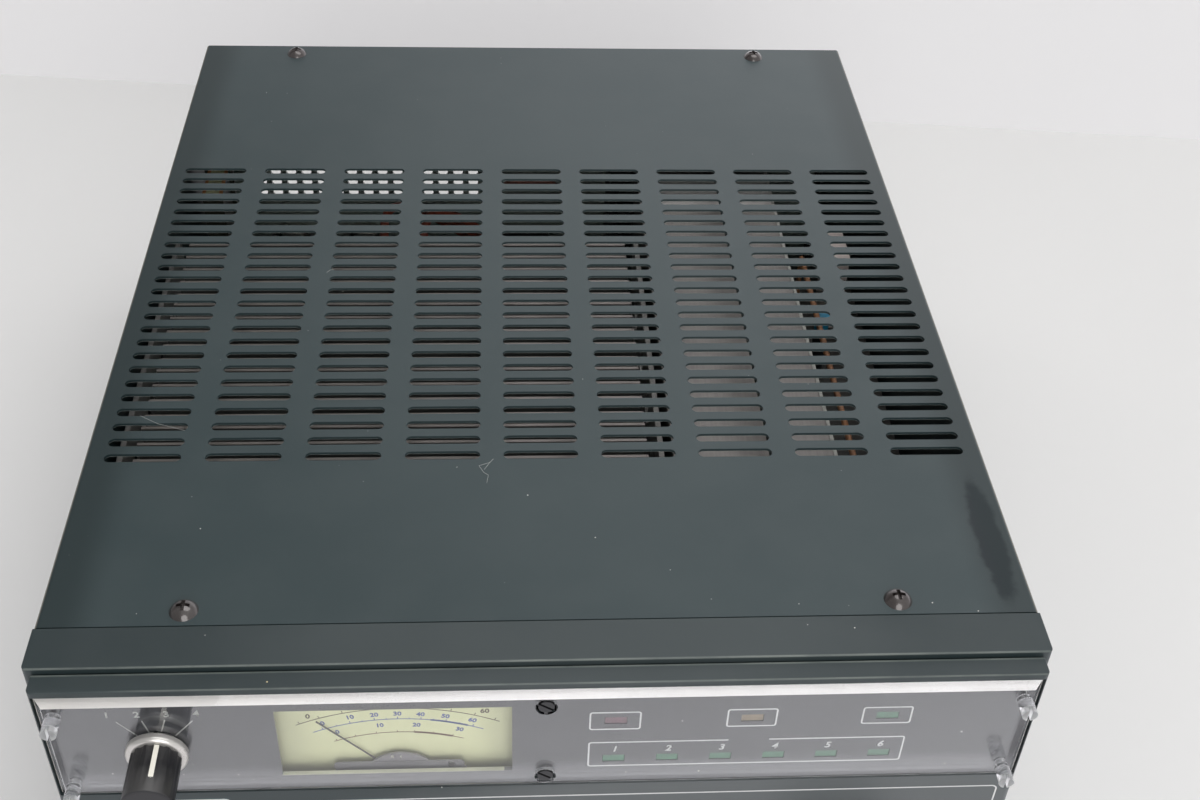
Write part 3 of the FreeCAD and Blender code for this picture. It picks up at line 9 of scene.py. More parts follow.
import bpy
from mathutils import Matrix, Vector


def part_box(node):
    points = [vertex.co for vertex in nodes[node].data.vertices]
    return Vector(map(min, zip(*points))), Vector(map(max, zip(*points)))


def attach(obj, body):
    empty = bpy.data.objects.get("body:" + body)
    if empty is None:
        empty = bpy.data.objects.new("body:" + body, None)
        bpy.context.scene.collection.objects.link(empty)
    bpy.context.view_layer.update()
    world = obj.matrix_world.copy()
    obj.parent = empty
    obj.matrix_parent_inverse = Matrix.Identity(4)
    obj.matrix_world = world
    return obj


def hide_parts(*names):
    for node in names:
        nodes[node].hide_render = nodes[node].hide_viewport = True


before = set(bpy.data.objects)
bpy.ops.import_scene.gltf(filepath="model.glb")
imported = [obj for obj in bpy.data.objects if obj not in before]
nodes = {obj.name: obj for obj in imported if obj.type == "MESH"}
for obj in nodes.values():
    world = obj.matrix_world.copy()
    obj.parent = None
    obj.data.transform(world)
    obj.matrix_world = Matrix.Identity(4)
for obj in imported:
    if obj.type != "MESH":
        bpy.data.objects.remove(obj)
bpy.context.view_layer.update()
print("parts in the frame:", len(nodes))

# %% [markdown]
# The drawing of this amplifier is in millimetres and Blender's scene is in metres, so one
# small factor turns one into the other. Sizes below are written in millimetres. Heights on
# the front could be counted from the desk. They are written as a drop below the top of the
# lid instead, because everything on the front was measured down from there.

# %% Units and the places that the lesson measures from
import math
import random

import bpy
from mathutils import Vector

MM = 0.001
LID_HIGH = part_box("top_cover")[1] / MM
LID_TOP = LID_HIGH.z
PANEL_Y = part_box("printed_panel")[0].y / MM
DIAL_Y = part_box("meter_dial")[0].y / MM
WINDOW_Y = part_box("window")[0].y / MM
RIM_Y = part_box("front_bezel")[0].y / MM
print("lid top", round(LID_TOP, 1), "lid side", round(LID_HIGH.x, 1))
print("panel", round(PANEL_Y, 2), "dial", round(DIAL_Y, 2))


def height(drop):
    """Height above the desk of a point that lies this far below the top of the lid."""
    return LID_TOP - drop


def metres(*values):
    return tuple(value * MM for value in values)


# %% [markdown]
# ## Camera
#
# The amplifier is seen from above and in front, a little to the left of its middle. A
# normal lens at arm's length makes the sides run together towards the back. A constraint
# could aim the camera. Its place and its angles are written down instead, so that the view
# depends on no other object.

# %% Camera
camera_data = bpy.data.cameras.new("camera")
camera_data.lens = 45.947
camera_data.sensor_width = 36.0
camera_data.clip_start = 0.01
camera = bpy.data.objects.new("camera", camera_data)
camera.location = (-0.010118, -0.377159, 0.397520)
camera.rotation_euler = [math.radians(angle) for angle in (49.4858, -2.0643, -3.0219)]
bpy.context.scene.collection.objects.link(camera)
bpy.context.scene.camera = camera
print("camera at", tuple(round(value, 3) for value in camera.location))

# %% [markdown]
# ## Helpers for modelling
#
# An operator works on whatever is selected, and loading the frame leaves every part of it
# selected. So each piece starts with a clear selection. When a piece is done, its place is
# moved into its mesh, it gets its finish, and it is told which moving body it rides on.
#
# Faces and edges could be chosen by their numbers in the mesh. A test of their place or
# their normal says what is meant, and it still holds when the mesh gets another face.

# %% Clear and pick


def clear():
    """Leave edit mode and deselect everything, so that the next primitive is alone."""
    if bpy.context.object and bpy.context.object.mode != "OBJECT":
        bpy.ops.object.mode_set(mode="OBJECT")
    bpy.ops.object.select_all(action="DESELECT")


def pick(piece, test, kind="FACE"):
    """Open the piece in edit mode with the faces, edges or points selected that pass the test."""
    if piece.mode != "OBJECT":
        bpy.ops.object.mode_set(mode="OBJECT")
    mesh = piece.data
    for part in list(mesh.vertices) + list(mesh.edges) + list(mesh.polygons):
        part.select = False
    if kind == "FACE":
        for face in mesh.polygons:
            face.select = test(face.center / MM, face.normal)
    elif kind == "EDGE":
        for edge in mesh.edges:
            a, b = [mesh.vertices[i].co / MM for i in edge.vertices]
            edge.select = test(a, b)
    else:
        for point in mesh.vertices:
            point.select = test(point.co / MM)
    bpy.ops.object.mode_set(mode="EDIT")
    bpy.ops.mesh.select_mode(type=kind)


# %% Bake, round and drop


def select_only(*pieces):
    """Select these pieces and nothing else; the first one is active."""
    clear()
    for piece in pieces:
        piece.select_set(True)
    bpy.context.view_layer.objects.active = pieces[0]


def bake_place(piece):
    """Move the object's place, turn and size into its mesh."""
    select_only(piece)
    bpy.ops.object.transform_apply(location=True, rotation=True, scale=True)


def round_edges(piece, test, radius, segments):
    """Bevel the edges that pass the test."""
    pick(piece, test, "EDGE")
    bpy.ops.mesh.bevel(offset=radius * MM, segments=segments, affect="EDGES")
    clear()


def drop_faces(piece, test):
    pick(piece, test)
    bpy.ops.mesh.delete(type="FACE")
    clear()


# %% [markdown]
# A piece starts as a primitive at its size and place. Its scale could stay on the object,
# but a bevel would then come out uneven, so it is applied at once. A thin sheet gets its
# thickness from Solidify, which keeps it even on slopes too.

# %% Add primitives and join them


def shape(operator, scale=(1.0, 1.0, 1.0), **settings):
    """Add one primitive, scale it and move its place into its mesh."""
    clear()
    operator(**settings)
    piece = bpy.context.object
    piece.scale = scale
    bake_place(piece)
    return piece


def block(centre, size, rotation=(0.0, 0.0, 0.0)):
    """A box from its middle and its size in millimetres."""
    cube = bpy.ops.mesh.primitive_cube_add
    return shape(cube, metres(*size), size=1.0, location=metres(*centre), rotation=rotation)


def rods(points, radius, sides):
    """Straight round pieces from point to point."""
    parts = []
    for start, end in zip(points, points[1:]):
        run = Vector(end) - Vector(start)
        parts.append(shape(
            bpy.ops.mesh.primitive_cylinder_add, vertices=sides, radius=radius * MM, depth=run.length * MM,
            location=(Vector(start) + Vector(end)) / 2 * MM, rotation=run.to_track_quat("Z", "Y").to_euler(),
        ))
    return parts


def merge(name, pieces):
    """Join several small shapes into one piece."""
    select_only(*pieces)
    bpy.ops.object.join()
    joined = bpy.context.object
    joined.name = joined.data.name = name
    bake_place(joined)
    return joined


# %% Thicken, finish and hand to a body


def apply_modifiers(piece):
    select_only(piece)
    for modifier in list(piece.modifiers):
        bpy.ops.object.modifier_apply(modifier=modifier.name)


def thicken(piece, thickness, offset):
    """Give a flat sheet its thickness."""
    modifier = piece.modifiers.new("thick", "SOLIDIFY")
    modifier.thickness = thickness * MM
    modifier.offset = offset
    apply_modifiers(piece)


def everything(*place):
    """The test that picks all of a piece."""
    return True


def settle(piece, name, material, body="chassis", smooth=None):
    """Name the piece, or join a list of them, give it its finish and say which body carries it."""
    if isinstance(piece, list):
        piece = merge(name, piece)
    bake_place(piece)
    piece.name = piece.data.name = name
    piece.data.materials.clear()
    piece.data.materials.append(material)
    if smooth is not None:
        bpy.ops.object.shade_smooth_by_angle(angle=math.radians(smooth))
    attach(piece, body)
    print(name, len(piece.data.polygons), "faces on", body)
    return piece


# %% [markdown]
# ## Shared effects
#
# The same few effects turn up on most parts: the fine grain of powder paint and mouldings,
# the drawn lines of rolled or turned metal, and dust that settles on whatever faces up.
# Each is a small node group. The same nodes could be laid out anew in every material, but
# then each later change would have to be made in all of them. A group gives out only a mask,
# a height or a value, and the material that uses it decides what to do with that.

# %% Node helpers


def new_group(name, inputs, outputs):
    """An empty shader node group with named float or vector sockets."""
    group = bpy.data.node_groups.new(name, "ShaderNodeTree")
    for label, value in inputs.items():
        kind = "NodeSocketFloat" if isinstance(value, float) else "NodeSocketVector"
        socket = group.interface.new_socket(name=label, in_out="INPUT", socket_type=kind)
        socket.default_value = value
    for label in outputs:
        group.interface.new_socket(name=label, in_out="OUTPUT", socket_type="NodeSocketFloat")
    return group, group.nodes.new("NodeGroupInput"), group.nodes.new("NodeGroupOutput")


def feed(tree, socket, value):
    """Link a socket to an output, or write a plain value on it."""
    if isinstance(value, bpy.types.NodeSocket):
        tree.links.new(value, socket)
    elif value is not None:
        socket.default_value = value


def add(tree, kind, *values, group=None, **labelled):
    """Add a node and feed its inputs, in order or by label with underscores for spaces."""
    node = tree.nodes.new("ShaderNode" + kind)
    if group:
        node.node_tree = group
    for socket, value in zip(node.inputs, values):
        feed(tree, socket, value)
    for label, value in labelled.items():
        feed(tree, node.inputs[label.replace("_", " ")], value)
    return node


# %% Nodes that calculate


def calc(tree, operation, a, b=None, c=None, clamp=False):
    """A Math node on sockets or numbers."""
    node = add(tree, "Math", a, b, c)
    node.operation = operation
    node.use_clamp = clamp
    return node.outputs[0]


def vector_calc(tree, operation, a, b=None):
    """A Vector Math node; a length comes out as a value, all else as a vector."""
    node = add(tree, "VectorMath", a, b)
    node.operation = operation
    return node.outputs["Value" if operation == "LENGTH" else "Vector"]


def remap(tree, value, low, high, to_low=0.0, to_high=1.0):
    """A smooth ramp from low..high to to_low..to_high."""
    node = add(tree, "MapRange", Value=value, From_Min=low, From_Max=high, To_Min=to_low, To_Max=to_high)
    node.interpolation_type = "SMOOTHSTEP"
    return node.outputs["Result"]


def mix_shaders(tree, share, first, second):
    """Go from the first shader to the second by a share."""
    return add(tree, "MixShader", share, first, second).outputs[0]


# %% Noise and places


def noise(tree, vector, scale, detail=3.0):
    return add(tree, "TexNoise", Vector=vector, Scale=scale, Detail=detail, Roughness=0.55).outputs["Fac"]


def object_place(tree):
    return add(tree, "TexCoord").outputs["Object"]


def place_along(tree, axis):
    """One coordinate of the place on the part, in metres."""
    return add(tree, "SeparateXYZ", Vector=object_place(tree)).outputs[axis]


# %% [markdown]
# **Grain** is a fine bumpy skin. It gives a height for the bump and a slow cloudy value
# that keeps large plain areas from looking like one flat colour. A painted texture could
# hold it, but noise on object coordinates needs no unwrapping and is sharp from any distance.

# %% Grain group
grain_group, grain_in, grain_out = new_group("grain", {"Scale": 2500.0, "Cloud": 45.0}, ["Height", "Cloud"])
grain_place = object_place(grain_group)
grain_height = noise(grain_group, grain_place, grain_in.outputs["Scale"], 2.0)
grain_cloud = noise(grain_group, grain_place, grain_in.outputs["Cloud"], 4.0)
feed(grain_group, grain_out.inputs["Height"], grain_height)
feed(grain_group, grain_out.inputs["Cloud"], grain_cloud)
print("group", grain_group.name)

# %% [markdown]
# **Drawn lines** are noise stretched along one direction, as a mill or a lathe tool leaves
# them. The stretch is a vector: a small number along the lines, a large one across them. A
# Wave texture gives lines too, but evenly spaced ones, and tool marks never are.

# %% Drawn lines group
drawn_group, drawn_in, drawn_out = new_group(
    "drawn_lines", {"Stretch": (30.0, 3000.0, 3000.0)}, ["Height", "Tone"]
)
drawn_place = vector_calc(drawn_group, "MULTIPLY", object_place(drawn_group), drawn_in.outputs["Stretch"])
drawn_lines = noise(drawn_group, drawn_place, 1.0)
feed(drawn_group, drawn_out.inputs["Height"], drawn_lines)
feed(drawn_group, drawn_out.inputs["Tone"], remap(drawn_group, drawn_lines, 0.35, 0.65))
print("group", drawn_group.name)

# %% [markdown]
# **Dust** lies where a face looks up. It is a thin uneven film with a few separate specks.
# The specks are the middles of Voronoi cells, kept only where the cell's own random value
# is low, so that they are few and scattered. Dust could be painted on part by part. A rule
# that reads the normal finds the upper faces by itself.

# %% Dust group
dust_group, dust_in, dust_out = new_group(
    "dust", {"Film": 0.1, "Specks": 0.1, "Speck Scale": 260.0}, ["Mask"]
)
dust_place = object_place(dust_group)
dust_normal = add(dust_group, "SeparateXYZ", Vector=add(dust_group, "NewGeometry").outputs["Normal"])
looks_up = remap(dust_group, dust_normal.outputs["Z"], 0.25, 0.9)
dust_uneven = remap(dust_group, noise(dust_group, dust_place, 60.0, 5.0), 0.35, 0.7)
dust_film = calc(dust_group, "MULTIPLY", dust_uneven, dust_in.outputs["Film"])
speck_cells = add(dust_group, "TexVoronoi", Vector=dust_place, Scale=dust_in.outputs["Speck Scale"])
speck_random = add(dust_group, "SeparateColor", Color=speck_cells.outputs["Color"])
few_cells = calc(dust_group, "LESS_THAN", speck_random.outputs["Red"], dust_in.outputs["Specks"])
small_middles = remap(dust_group, speck_cells.outputs["Distance"], 0.03, 0.07, 1.0, 0.0)
dust_specks = calc(dust_group, "MULTIPLY", few_cells, small_middles)
dust_all = calc(dust_group, "MAXIMUM", dust_film, calc(dust_group, "MULTIPLY", dust_specks, 0.6))
feed(dust_group, dust_out.inputs["Mask"], calc(dust_group, "MULTIPLY", dust_all, looks_up, clamp=True))
print("group", dust_group.name)

# %% [markdown]
# **Spot** is a soft round or oval mark at one place on a part: a worn patch, a stain, a
# smear. It measures the distance from a centre, with its own size along each axis. A
# painted mask would do the same, but a centre and a size are easier to move.

# %% Spot group
spot_group, spot_in, spot_out = new_group(
    "spot", {"Centre": (0.0, 0.0, 0.0), "Size": (0.01, 0.01, 0.01), "Ragged": 0.3}, ["Mask"]
)
spot_place = object_place(spot_group)
spot_away = vector_calc(spot_group, "SUBTRACT", spot_place, spot_in.outputs["Centre"])
spot_share = vector_calc(spot_group, "DIVIDE", spot_away, spot_in.outputs["Size"])
spot_length = vector_calc(spot_group, "LENGTH", spot_share)
spot_wobble = calc(spot_group, "SUBTRACT", noise(spot_group, spot_place, 180.0, 4.0), 0.5)
spot_reach = calc(spot_group, "MULTIPLY_ADD", spot_wobble, spot_in.outputs["Ragged"], spot_length)
feed(spot_group, spot_out.inputs["Mask"], remap(spot_group, spot_reach, 0.6, 1.05, 1.0, 0.0))
print("group", spot_group.name)

# %% [markdown]
# ## Finishes
#
# Every finish is a Principled shader with the same skeleton. A base colour drifts a little
# with the cloud, dust lightens what faces up, the roughness follows both, and the grain or
# the drawn lines feed a bump. What differs from paint to metal to rubber is the numbers,
# so one maker function takes them.

# %% Colours
# A Mix node has sockets for every kind of data. These are the places of its colours.
MIX_FIRST, MIX_SECOND, MIX_RESULT = 6, 7, 2


def blend_colour(tree, share, a, b):
    """Mix two colours by a share that changes over the surface."""
    node = add(tree, "Mix", Factor=share)
    node.data_type = "RGBA"
    for place, value in ((MIX_FIRST, a), (MIX_SECOND, b)):
        colour = value if isinstance(value, bpy.types.NodeSocket) else (*value, 1.0)
        feed(tree, node.inputs[place], colour)
    return node.outputs[MIX_RESULT]


def shade(colour, factor):
    return tuple(min(1.0, part * factor) for part in colour)


# %% [markdown]
# A class keeps what belongs to one material while it is built. Functions alone would have
# to hand the tree, the colour, the roughness and the normal to each other at every step.

# %% The maker of finishes


class Finish:
    """A material that is being built: its tree, its shader and its current colour."""

    def __init__(self, name):
        self.material = bpy.data.materials.new(name)
        self.material.use_nodes = True
        self.tree = self.material.node_tree
        self.shader = self.tree.nodes["Principled BSDF"]
        self.colour = self.rough = self.normal = None

    def ramp(self, along, low, high, to_low=0.0, to_high=1.0):
        """A ramp between two places in millimetres, along an axis or another length."""
        if isinstance(along, str):
            along = place_along(self.tree, along)
        return remap(self.tree, along, low * MM, high * MM, to_low, to_high)

    def off(self, axis, middle=0.0):
        """How far a place lies from a middle plane, on either side of it."""
        away = calc(self.tree, "SUBTRACT", place_along(self.tree, axis), middle * MM)
        return calc(self.tree, "ABSOLUTE", away)

    def spot(self, centre, size, ragged):
        """The mask of a soft mark, with its centre and size in millimetres."""
        place, reach = metres(*centre), metres(*size)
        mark = add(self.tree, "Group", group=spot_group, Centre=place, Size=reach, Ragged=ragged)
        return mark.outputs["Mask"]

    def times(self, *shares):
        """Several shares multiplied."""
        product = shares[0]
        for share in shares[1:]:
            product = calc(self.tree, "MULTIPLY", product, share)
        return product

    def coat(self, weight, rough):
        self.shader.inputs["Coat Weight"].default_value = weight
        self.shader.inputs["Coat Roughness"].default_value = rough

    def over(self, share, colour, rough=None):
        """Lay another colour, and another roughness, over what is there."""
        self.colour = blend_colour(self.tree, share, self.colour, colour)
        if rough is not None:
            step = calc(self.tree, "SUBTRACT", rough, self.rough)
            self.rough = calc(self.tree, "MULTIPLY_ADD", step, share, self.rough)

    def bump(self, height_value, strength, depth):
        node = add(self.tree, "Bump", Strength=strength, Distance=depth * MM, Height=height_value)
        feed(self.tree, node.inputs["Normal"], self.normal)
        self.normal = node.outputs["Normal"]

    def done(self):
        ends = {"Base Color": self.colour, "Roughness": self.rough, "Normal": self.normal}
        for label, value in ends.items():
            feed(self.tree, self.shader.inputs[label], value)
        return self.material


# %% [markdown]
# Most finishes begin and end in the same way, so the steps that they share are functions
# too. A finish with a mark of its own calls them one by one and puts its mark in between.

# %% Steps that finishes share
DUST_COLOUR = (0.36, 0.35, 0.33)


def start_finish(name, colour, rough, cloud=0.1, cloud_scale=45.0, grain=2500.0, bumps=0.25,
                 metallic=0.0, uneven=0.04):
    """Colour with a cloudy drift, roughness that follows it, and a grain bump."""
    made = Finish(name)
    made.shader.inputs["Metallic"].default_value = metallic
    skin = add(made.tree, "Group", group=grain_group, Scale=grain, Cloud=cloud_scale)
    drift = remap(made.tree, skin.outputs["Cloud"], 0.3, 0.7)
    made.colour = blend_colour(made.tree, drift, shade(colour, 1 - cloud), shade(colour, 1 + cloud))
    made.rough = remap(made.tree, skin.outputs["Cloud"], 0.3, 0.7, rough - uneven, rough + uneven)
    made.bump(skin.outputs["Height"], bumps, 0.05)
    return made


def add_dust(made, film, specks=0.1, speck_scale=260.0, colour=DUST_COLOUR):
    veil = add(made.tree, "Group", group=dust_group, Film=film, Specks=specks, Speck_Scale=speck_scale)
    made.over(veil.outputs["Mask"], colour, 0.85)


def add_lines(made, stretch, strength=0.3, tone=0.12):
    """Drawn or turned lines in colour and bump."""
    lines = add(made.tree, "Group", group=drawn_group, Stretch=stretch)
    made.over(made.times(lines.outputs["Tone"], tone), (0.02, 0.02, 0.02))
    made.bump(lines.outputs["Height"], strength, 0.03)


# %% The common case


def plain_finish(name, colour, rough, film=0.08, metallic=0.0, lines=None, coat=0.0, **skin):
    """The common case: skin, dust and, on metal, drawn lines."""
    made = start_finish(name, colour, rough, metallic=metallic, **skin)
    if lines:
        add_lines(made, lines)
    if film:
        add_dust(made, film)
    made.coat(coat, 0.08)
    return made.done()


def dress(material, *names):
    """Give parts of the frame their finish."""
    for name in names:
        mesh = nodes[name].data
        if not mesh.materials:
            mesh.materials.append(material)
        for index in range(len(mesh.materials)):
            mesh.materials[index] = material
    print(material.name, "on", *names)


def wear(names, finish, colour, rough, **skin):
    """Dress parts, all named in one string, in a plain finish."""
    dress(plain_finish(finish, colour, rough, **skin), *names.split())


# %% [markdown]
# ## Studio
#
# The amplifier stands on a pale floor that runs back to a pale wall. The camera sees their
# own diffuse colour, so the shadow of the case stays. Gloss and clear plastic see a plain
# white instead, through the Light Path node, and that is what makes the window bright.
# Seen from behind, the wall is clear, so the back of the case can be looked at too.

# %% Floor and wall
EVEN_GLOW = 0.75


def studio_surface(name, colour, across, upward=None, seen_glow=0.0):
    """Diffuse with some even glow for the camera, and a glow for reflections that changes along X and Z."""
    material = bpy.data.materials.new(name)
    material.use_nodes = True
    tree = material.node_tree
    tree.nodes.remove(tree.nodes["Principled BSDF"])
    cloud = remap(tree, noise(tree, object_place(tree), 2.5, 2.0), 0.3, 0.7)
    tint = blend_colour(tree, cloud, shade(colour, 0.985), shade(colour, 1.015))
    matt = add(tree, "BsdfDiffuse", Color=tint)
    shine = remap(tree, place_along(tree, "X"), *across)
    if upward:
        shine = calc(tree, "MULTIPLY", shine, remap(tree, place_along(tree, "Z"), *upward))
    path = add(tree, "LightPath")
    direct = path.outputs["Is Camera Ray"]
    to_even = calc(tree, "SUBTRACT", EVEN_GLOW, shine)
    strength = calc(tree, "MULTIPLY_ADD", to_even, direct, shine)
    glow = add(tree, "Emission", Color=(0.985, 0.97, 1.0, 1.0), Strength=strength)
    mirrored = calc(tree, "MAXIMUM", path.outputs["Is Glossy Ray"], path.outputs["Is Transmission Ray"])
    seen = calc(tree, "MAXIMUM", mirrored, calc(tree, "MULTIPLY", direct, seen_glow))
    facing = mix_shaders(tree, seen, matt.outputs[0], glow.outputs[0])
    behind = calc(tree, "MULTIPLY", add(tree, "NewGeometry").outputs["Backfacing"], direct)
    surface = mix_shaders(tree, behind, facing, add(tree, "BsdfTransparent").outputs[0])
    feed(tree, tree.nodes["Material Output"].inputs["Surface"], surface)
    return material


def studio_plane(name, location, rotation, size, material):
    sheet = bpy.ops.mesh.primitive_plane_add
    plane = shape(sheet, (*size, 1.0), size=1.0, location=location, rotation=rotation)
    plane.name = name
    plane.data.materials.append(material)


# %% Place floor and wall
floor_finish = studio_surface("studio_floor", (0.70, 0.695, 0.69), (-0.10, 0.16, 0.98, 1.2))
wall_finish = studio_surface(
    "studio_wall", (0.86, 0.85, 0.845), (-0.30, 0.22, 0.28, 1.1), (0.18, 0.55, 1.3, 0.75), 0.4
)
studio_plane("floor", (0.0, 0.0, -0.0002), (0.0, 0.0, 0.0), (6.0, 6.0), floor_finish)
WALL_TURN = math.radians(-5.6)
studio_plane("wall", (0.0, 0.323, 1.0), (math.radians(90.0), 0.0, WALL_TURN), (6.0, 2.0), wall_finish)

# %% [markdown]
# A pale sky fills the shadows. One large soft lamp above, a little behind and to the right,
# gives the lid its slow change from dark to light, and a weaker one lights the front. Small
# hard lamps would put bright spots on the satin paint and black shadows in the slots.

# %% Sky and lamps
world = bpy.data.worlds.new("studio_sky")
bpy.context.scene.world = world
world.use_nodes = True
sky = world.node_tree
sky_place = add(sky, "SeparateXYZ", Vector=add(sky, "TexCoord").outputs["Generated"])
sky_back = sky.nodes["Background"]
sky_back.inputs["Color"].default_value = (0.985, 0.99, 1.0, 1.0)
feed(sky, sky_back.inputs["Strength"], remap(sky, sky_place.outputs["X"], -0.45, 0.05, 0.45, 0.9))


def soft_lamp(name, place, target, size, power):
    light = bpy.data.lights.new(name, "AREA")
    light.shape = "DISK"
    light.size = size
    light.energy = power
    lamp = bpy.data.objects.new(name, light)
    lamp.location = place
    lamp.rotation_euler = (Vector(target) - Vector(place)).to_track_quat("-Z", "Y").to_euler()
    bpy.context.scene.collection.objects.link(lamp)


soft_lamp("overhead_lamp", (0.23, 0.25, 1.2), (0.0, 0.0, 0.1), 1.2, 9.0)
soft_lamp("front_lamp", (0.12, -1.3, 0.75), (0.0, -0.15, 0.08), 1.0, 7.5)
bpy.context.scene.view_settings.view_transform = "Standard"

# %% [markdown]
# ## The painted case
#
# Lid and front are sprayed a very dark green-grey, satin, with a fine powder texture. Dust
# and a few worn places matter as much as the colour: without them the big plain lid looks
# like plastic. The lid's right front corner is rubbed darker, where hands and a neighbour
# have polished it. Light is painted in too: a painted sheen in the middle of the lid and of
# the front's top, painted shade towards the lid's sides, painted highlights along edges, and
# painted light on the lower front and on the inside of the lid.
#
# Wear and painted light could be a second material on some faces. Here each worn or painted
# place is a mask made of ramps along the axes, multiplied where it has to end, because
# neither stops at the border of a face.

# %% Case paint


def case_paint(name, colour, rough):
    paint = start_finish(
        name, colour, rough, cloud=0.02, cloud_scale=9.0, grain=1900.0, bumps=0.22, uneven=0.008
    )
    rubbed = paint.spot((113.8, -110.0, LID_TOP), (4.2, 26.0, 3.0), 0.8)
    paint.over(rubbed, (0.018, 0.020, 0.026))
    shine = remap(paint.tree, rubbed, 0.0, 1.2, 0.5, 0.24)
    feed(paint.tree, paint.shader.inputs["Specular IOR Level"], shine)
    add_dust(paint, 0.012, specks=0.06, speck_scale=300.0, colour=(0.42, 0.42, 0.40))
    return paint


def worn_edge_highlight(paint, near, far, drop, strength, fade=(-130.0, -120.0)):
    """Pale band along an edge, partly worn paint and partly a painted highlight where the edge catches
    light: a band in Y above a height, which may fade at the left.
    """
    starts = paint.ramp("Y", near - 0.1, near + 0.1)
    ends = paint.ramp("Y", far - 0.1, far + 0.1, 1.0, 0.0)
    level = paint.ramp("Z", height(drop + 0.15), height(drop))
    cloud = noise(paint.tree, object_place(paint.tree), 70.0, 4.0)
    patchy = remap(paint.tree, cloud, 0.3, 0.7, 0.4 * strength, strength)
    paint.over(paint.times(starts, ends, level, paint.ramp("X", *fade), patchy), (0.17, 0.19, 0.17), 0.5)


# %% Lid
lid = case_paint("lid_paint", (0.026, 0.042, 0.045), 0.40)
from_middle = lid.off("X")
# Painted sheen: the middle of the lid is made lighter, where the satin paint reflects the bright wall.
painted_sheen_spot = lid.spot((0.0, 0.0, LID_TOP), (85.0, 150.0, 4.0), 0.1)
lid.over(lid.times(painted_sheen_spot, 0.35), (0.044, 0.061, 0.064))
# Painted shade: the lid is made darker towards both sides, where the satin paint reflects less light.
painted_shade_sides = lid.ramp(from_middle, LID_HIGH.x - 16.0, LID_HIGH.x - 5.0, 0.0, 0.75)
lid.over(painted_shade_sides, (0.010, 0.020, 0.021))
# Painted light: the lid's inside faces are made pale, so that more light bounces round the dark interior.
under = lid.ramp("Z", height(0.79), height(0.74), 1.0, 0.0)
inner_side = lid.ramp(from_middle, LID_HIGH.x - 1.1, LID_HIGH.x - 0.9, 1.0, 0.0)
lid.over(lid.times(under, inner_side), (0.50, 0.55, 0.53), 0.6)
# Painted highlight: a thin pale olive line on the lid's turned-down side edges, where they catch the light.
outer_side = lid.ramp(from_middle, LID_HIGH.x - 0.75, LID_HIGH.x - 0.5)
edge_highlight_level = lid.ramp("Z", height(1.3), height(0.9))
lid.over(lid.times(outer_side, edge_highlight_level, 0.5), (0.20, 0.18, 0.13))
dress(lid.done(), "top_cover")

# %% Front
front = case_paint("front_paint", (0.019, 0.030, 0.032), 0.46)
# Painted sheen: the middle of the bezel's top is made lighter, as on the lid.
sheen_spot = front.spot((2.0, -140.0, LID_TOP), (85.0, 30.0, 4.0), 0.1)
front.over(front.times(sheen_spot, 0.5), (0.050, 0.062, 0.064))
STEP_Y = RIM_Y + 5.7
# The pale bands on the tier edges are partly wear and partly painted highlights.
worn_edge_highlight(front, STEP_Y + 0.02, STEP_Y + 0.45, 0.28, 0.65)
worn_edge_highlight(front, STEP_Y - 1.0, STEP_Y - 0.5, 1.6, 0.6)
worn_edge_highlight(front, RIM_Y + 0.05, RIM_Y + 0.4, 1.7, 0.55, (-105.0, -80.0))
# Painted light: the lower front is made lighter, as a vertical face that the front lamp lights.
lower = front.spot((75.0, RIM_Y, height(46.0)), (120.0, 3.0, 14.0), 0.1)
front.over(front.times(lower, 0.75), (0.107, 0.116, 0.119))
dress(front.done(), "front_bezel")

# %% [markdown]
# Sockets and the ground terminal are nickel-plated with brass contacts. Tray and frame are
# dull steel, the sink's brackets are zinc-plated, and the screws are blackened. Each could
# have a tree of its own, but one recipe serves them all. What changes is how metallic and
# how rough the skin is, and which way its drawn lines run.

# %% Plain metals
nickel = plain_finish(
    "nickel", (0.66, 0.64, 0.60), 0.25, film=0.05, metallic=1.0, lines=(900.0, 40.0, 900.0)
)
dress(nickel, "coax_sockets", "earth_stud", "earth_nut")
wear("meter_shaft band_shaft",
     "shaft_steel", (0.60, 0.60, 0.60), 0.28, film=0.0, metallic=1.0, lines=(900.0, 2500.0, 900.0))
wear("rear_contacts", "brass", (0.62, 0.45, 0.18), 0.3, film=0.05, metallic=1.0, lines=(900.0, 60.0, 900.0))
wear("sink_brackets",
     "plated_sheet", (0.52, 0.51, 0.49), 0.36, film=0.25, metallic=0.8, lines=(40.0, 1500.0, 1500.0))
wear("base_tray front_frame", "inner_steel", (0.40, 0.42, 0.42), 0.55, film=0.3, metallic=0.1)
wear("case_screws foot_screws fan_screws",
     "black_screw", (0.045, 0.036, 0.034), 0.22, film=0.12, metallic=0.5, coat=0.8)

# %% [markdown]
# The lids of the shield box are tinned. They are painted bright in the middle and dark towards
# the back: a painted highlight and painted shade. Sink and box are painted as shadowed bodies
# with a painted highlight on their upper edge, the sink's dusty and pinkish. The rear panel
# is painted dark outside and pale within; the pale inside is painted light, so that more light
# bounces round the interior. Each tone could be a material of its own on the faces it covers.
# A ramp along Y or Z is simpler, because it doesn't depend on where the faces of a box or a
# fin happen to begin.

# %% Sheets with more than one tone
tin = start_finish("shield_tin", (0.36, 0.333, 0.32), 0.42, metallic=0.15)
add_lines(tin, (1400.0, 30.0, 900.0))
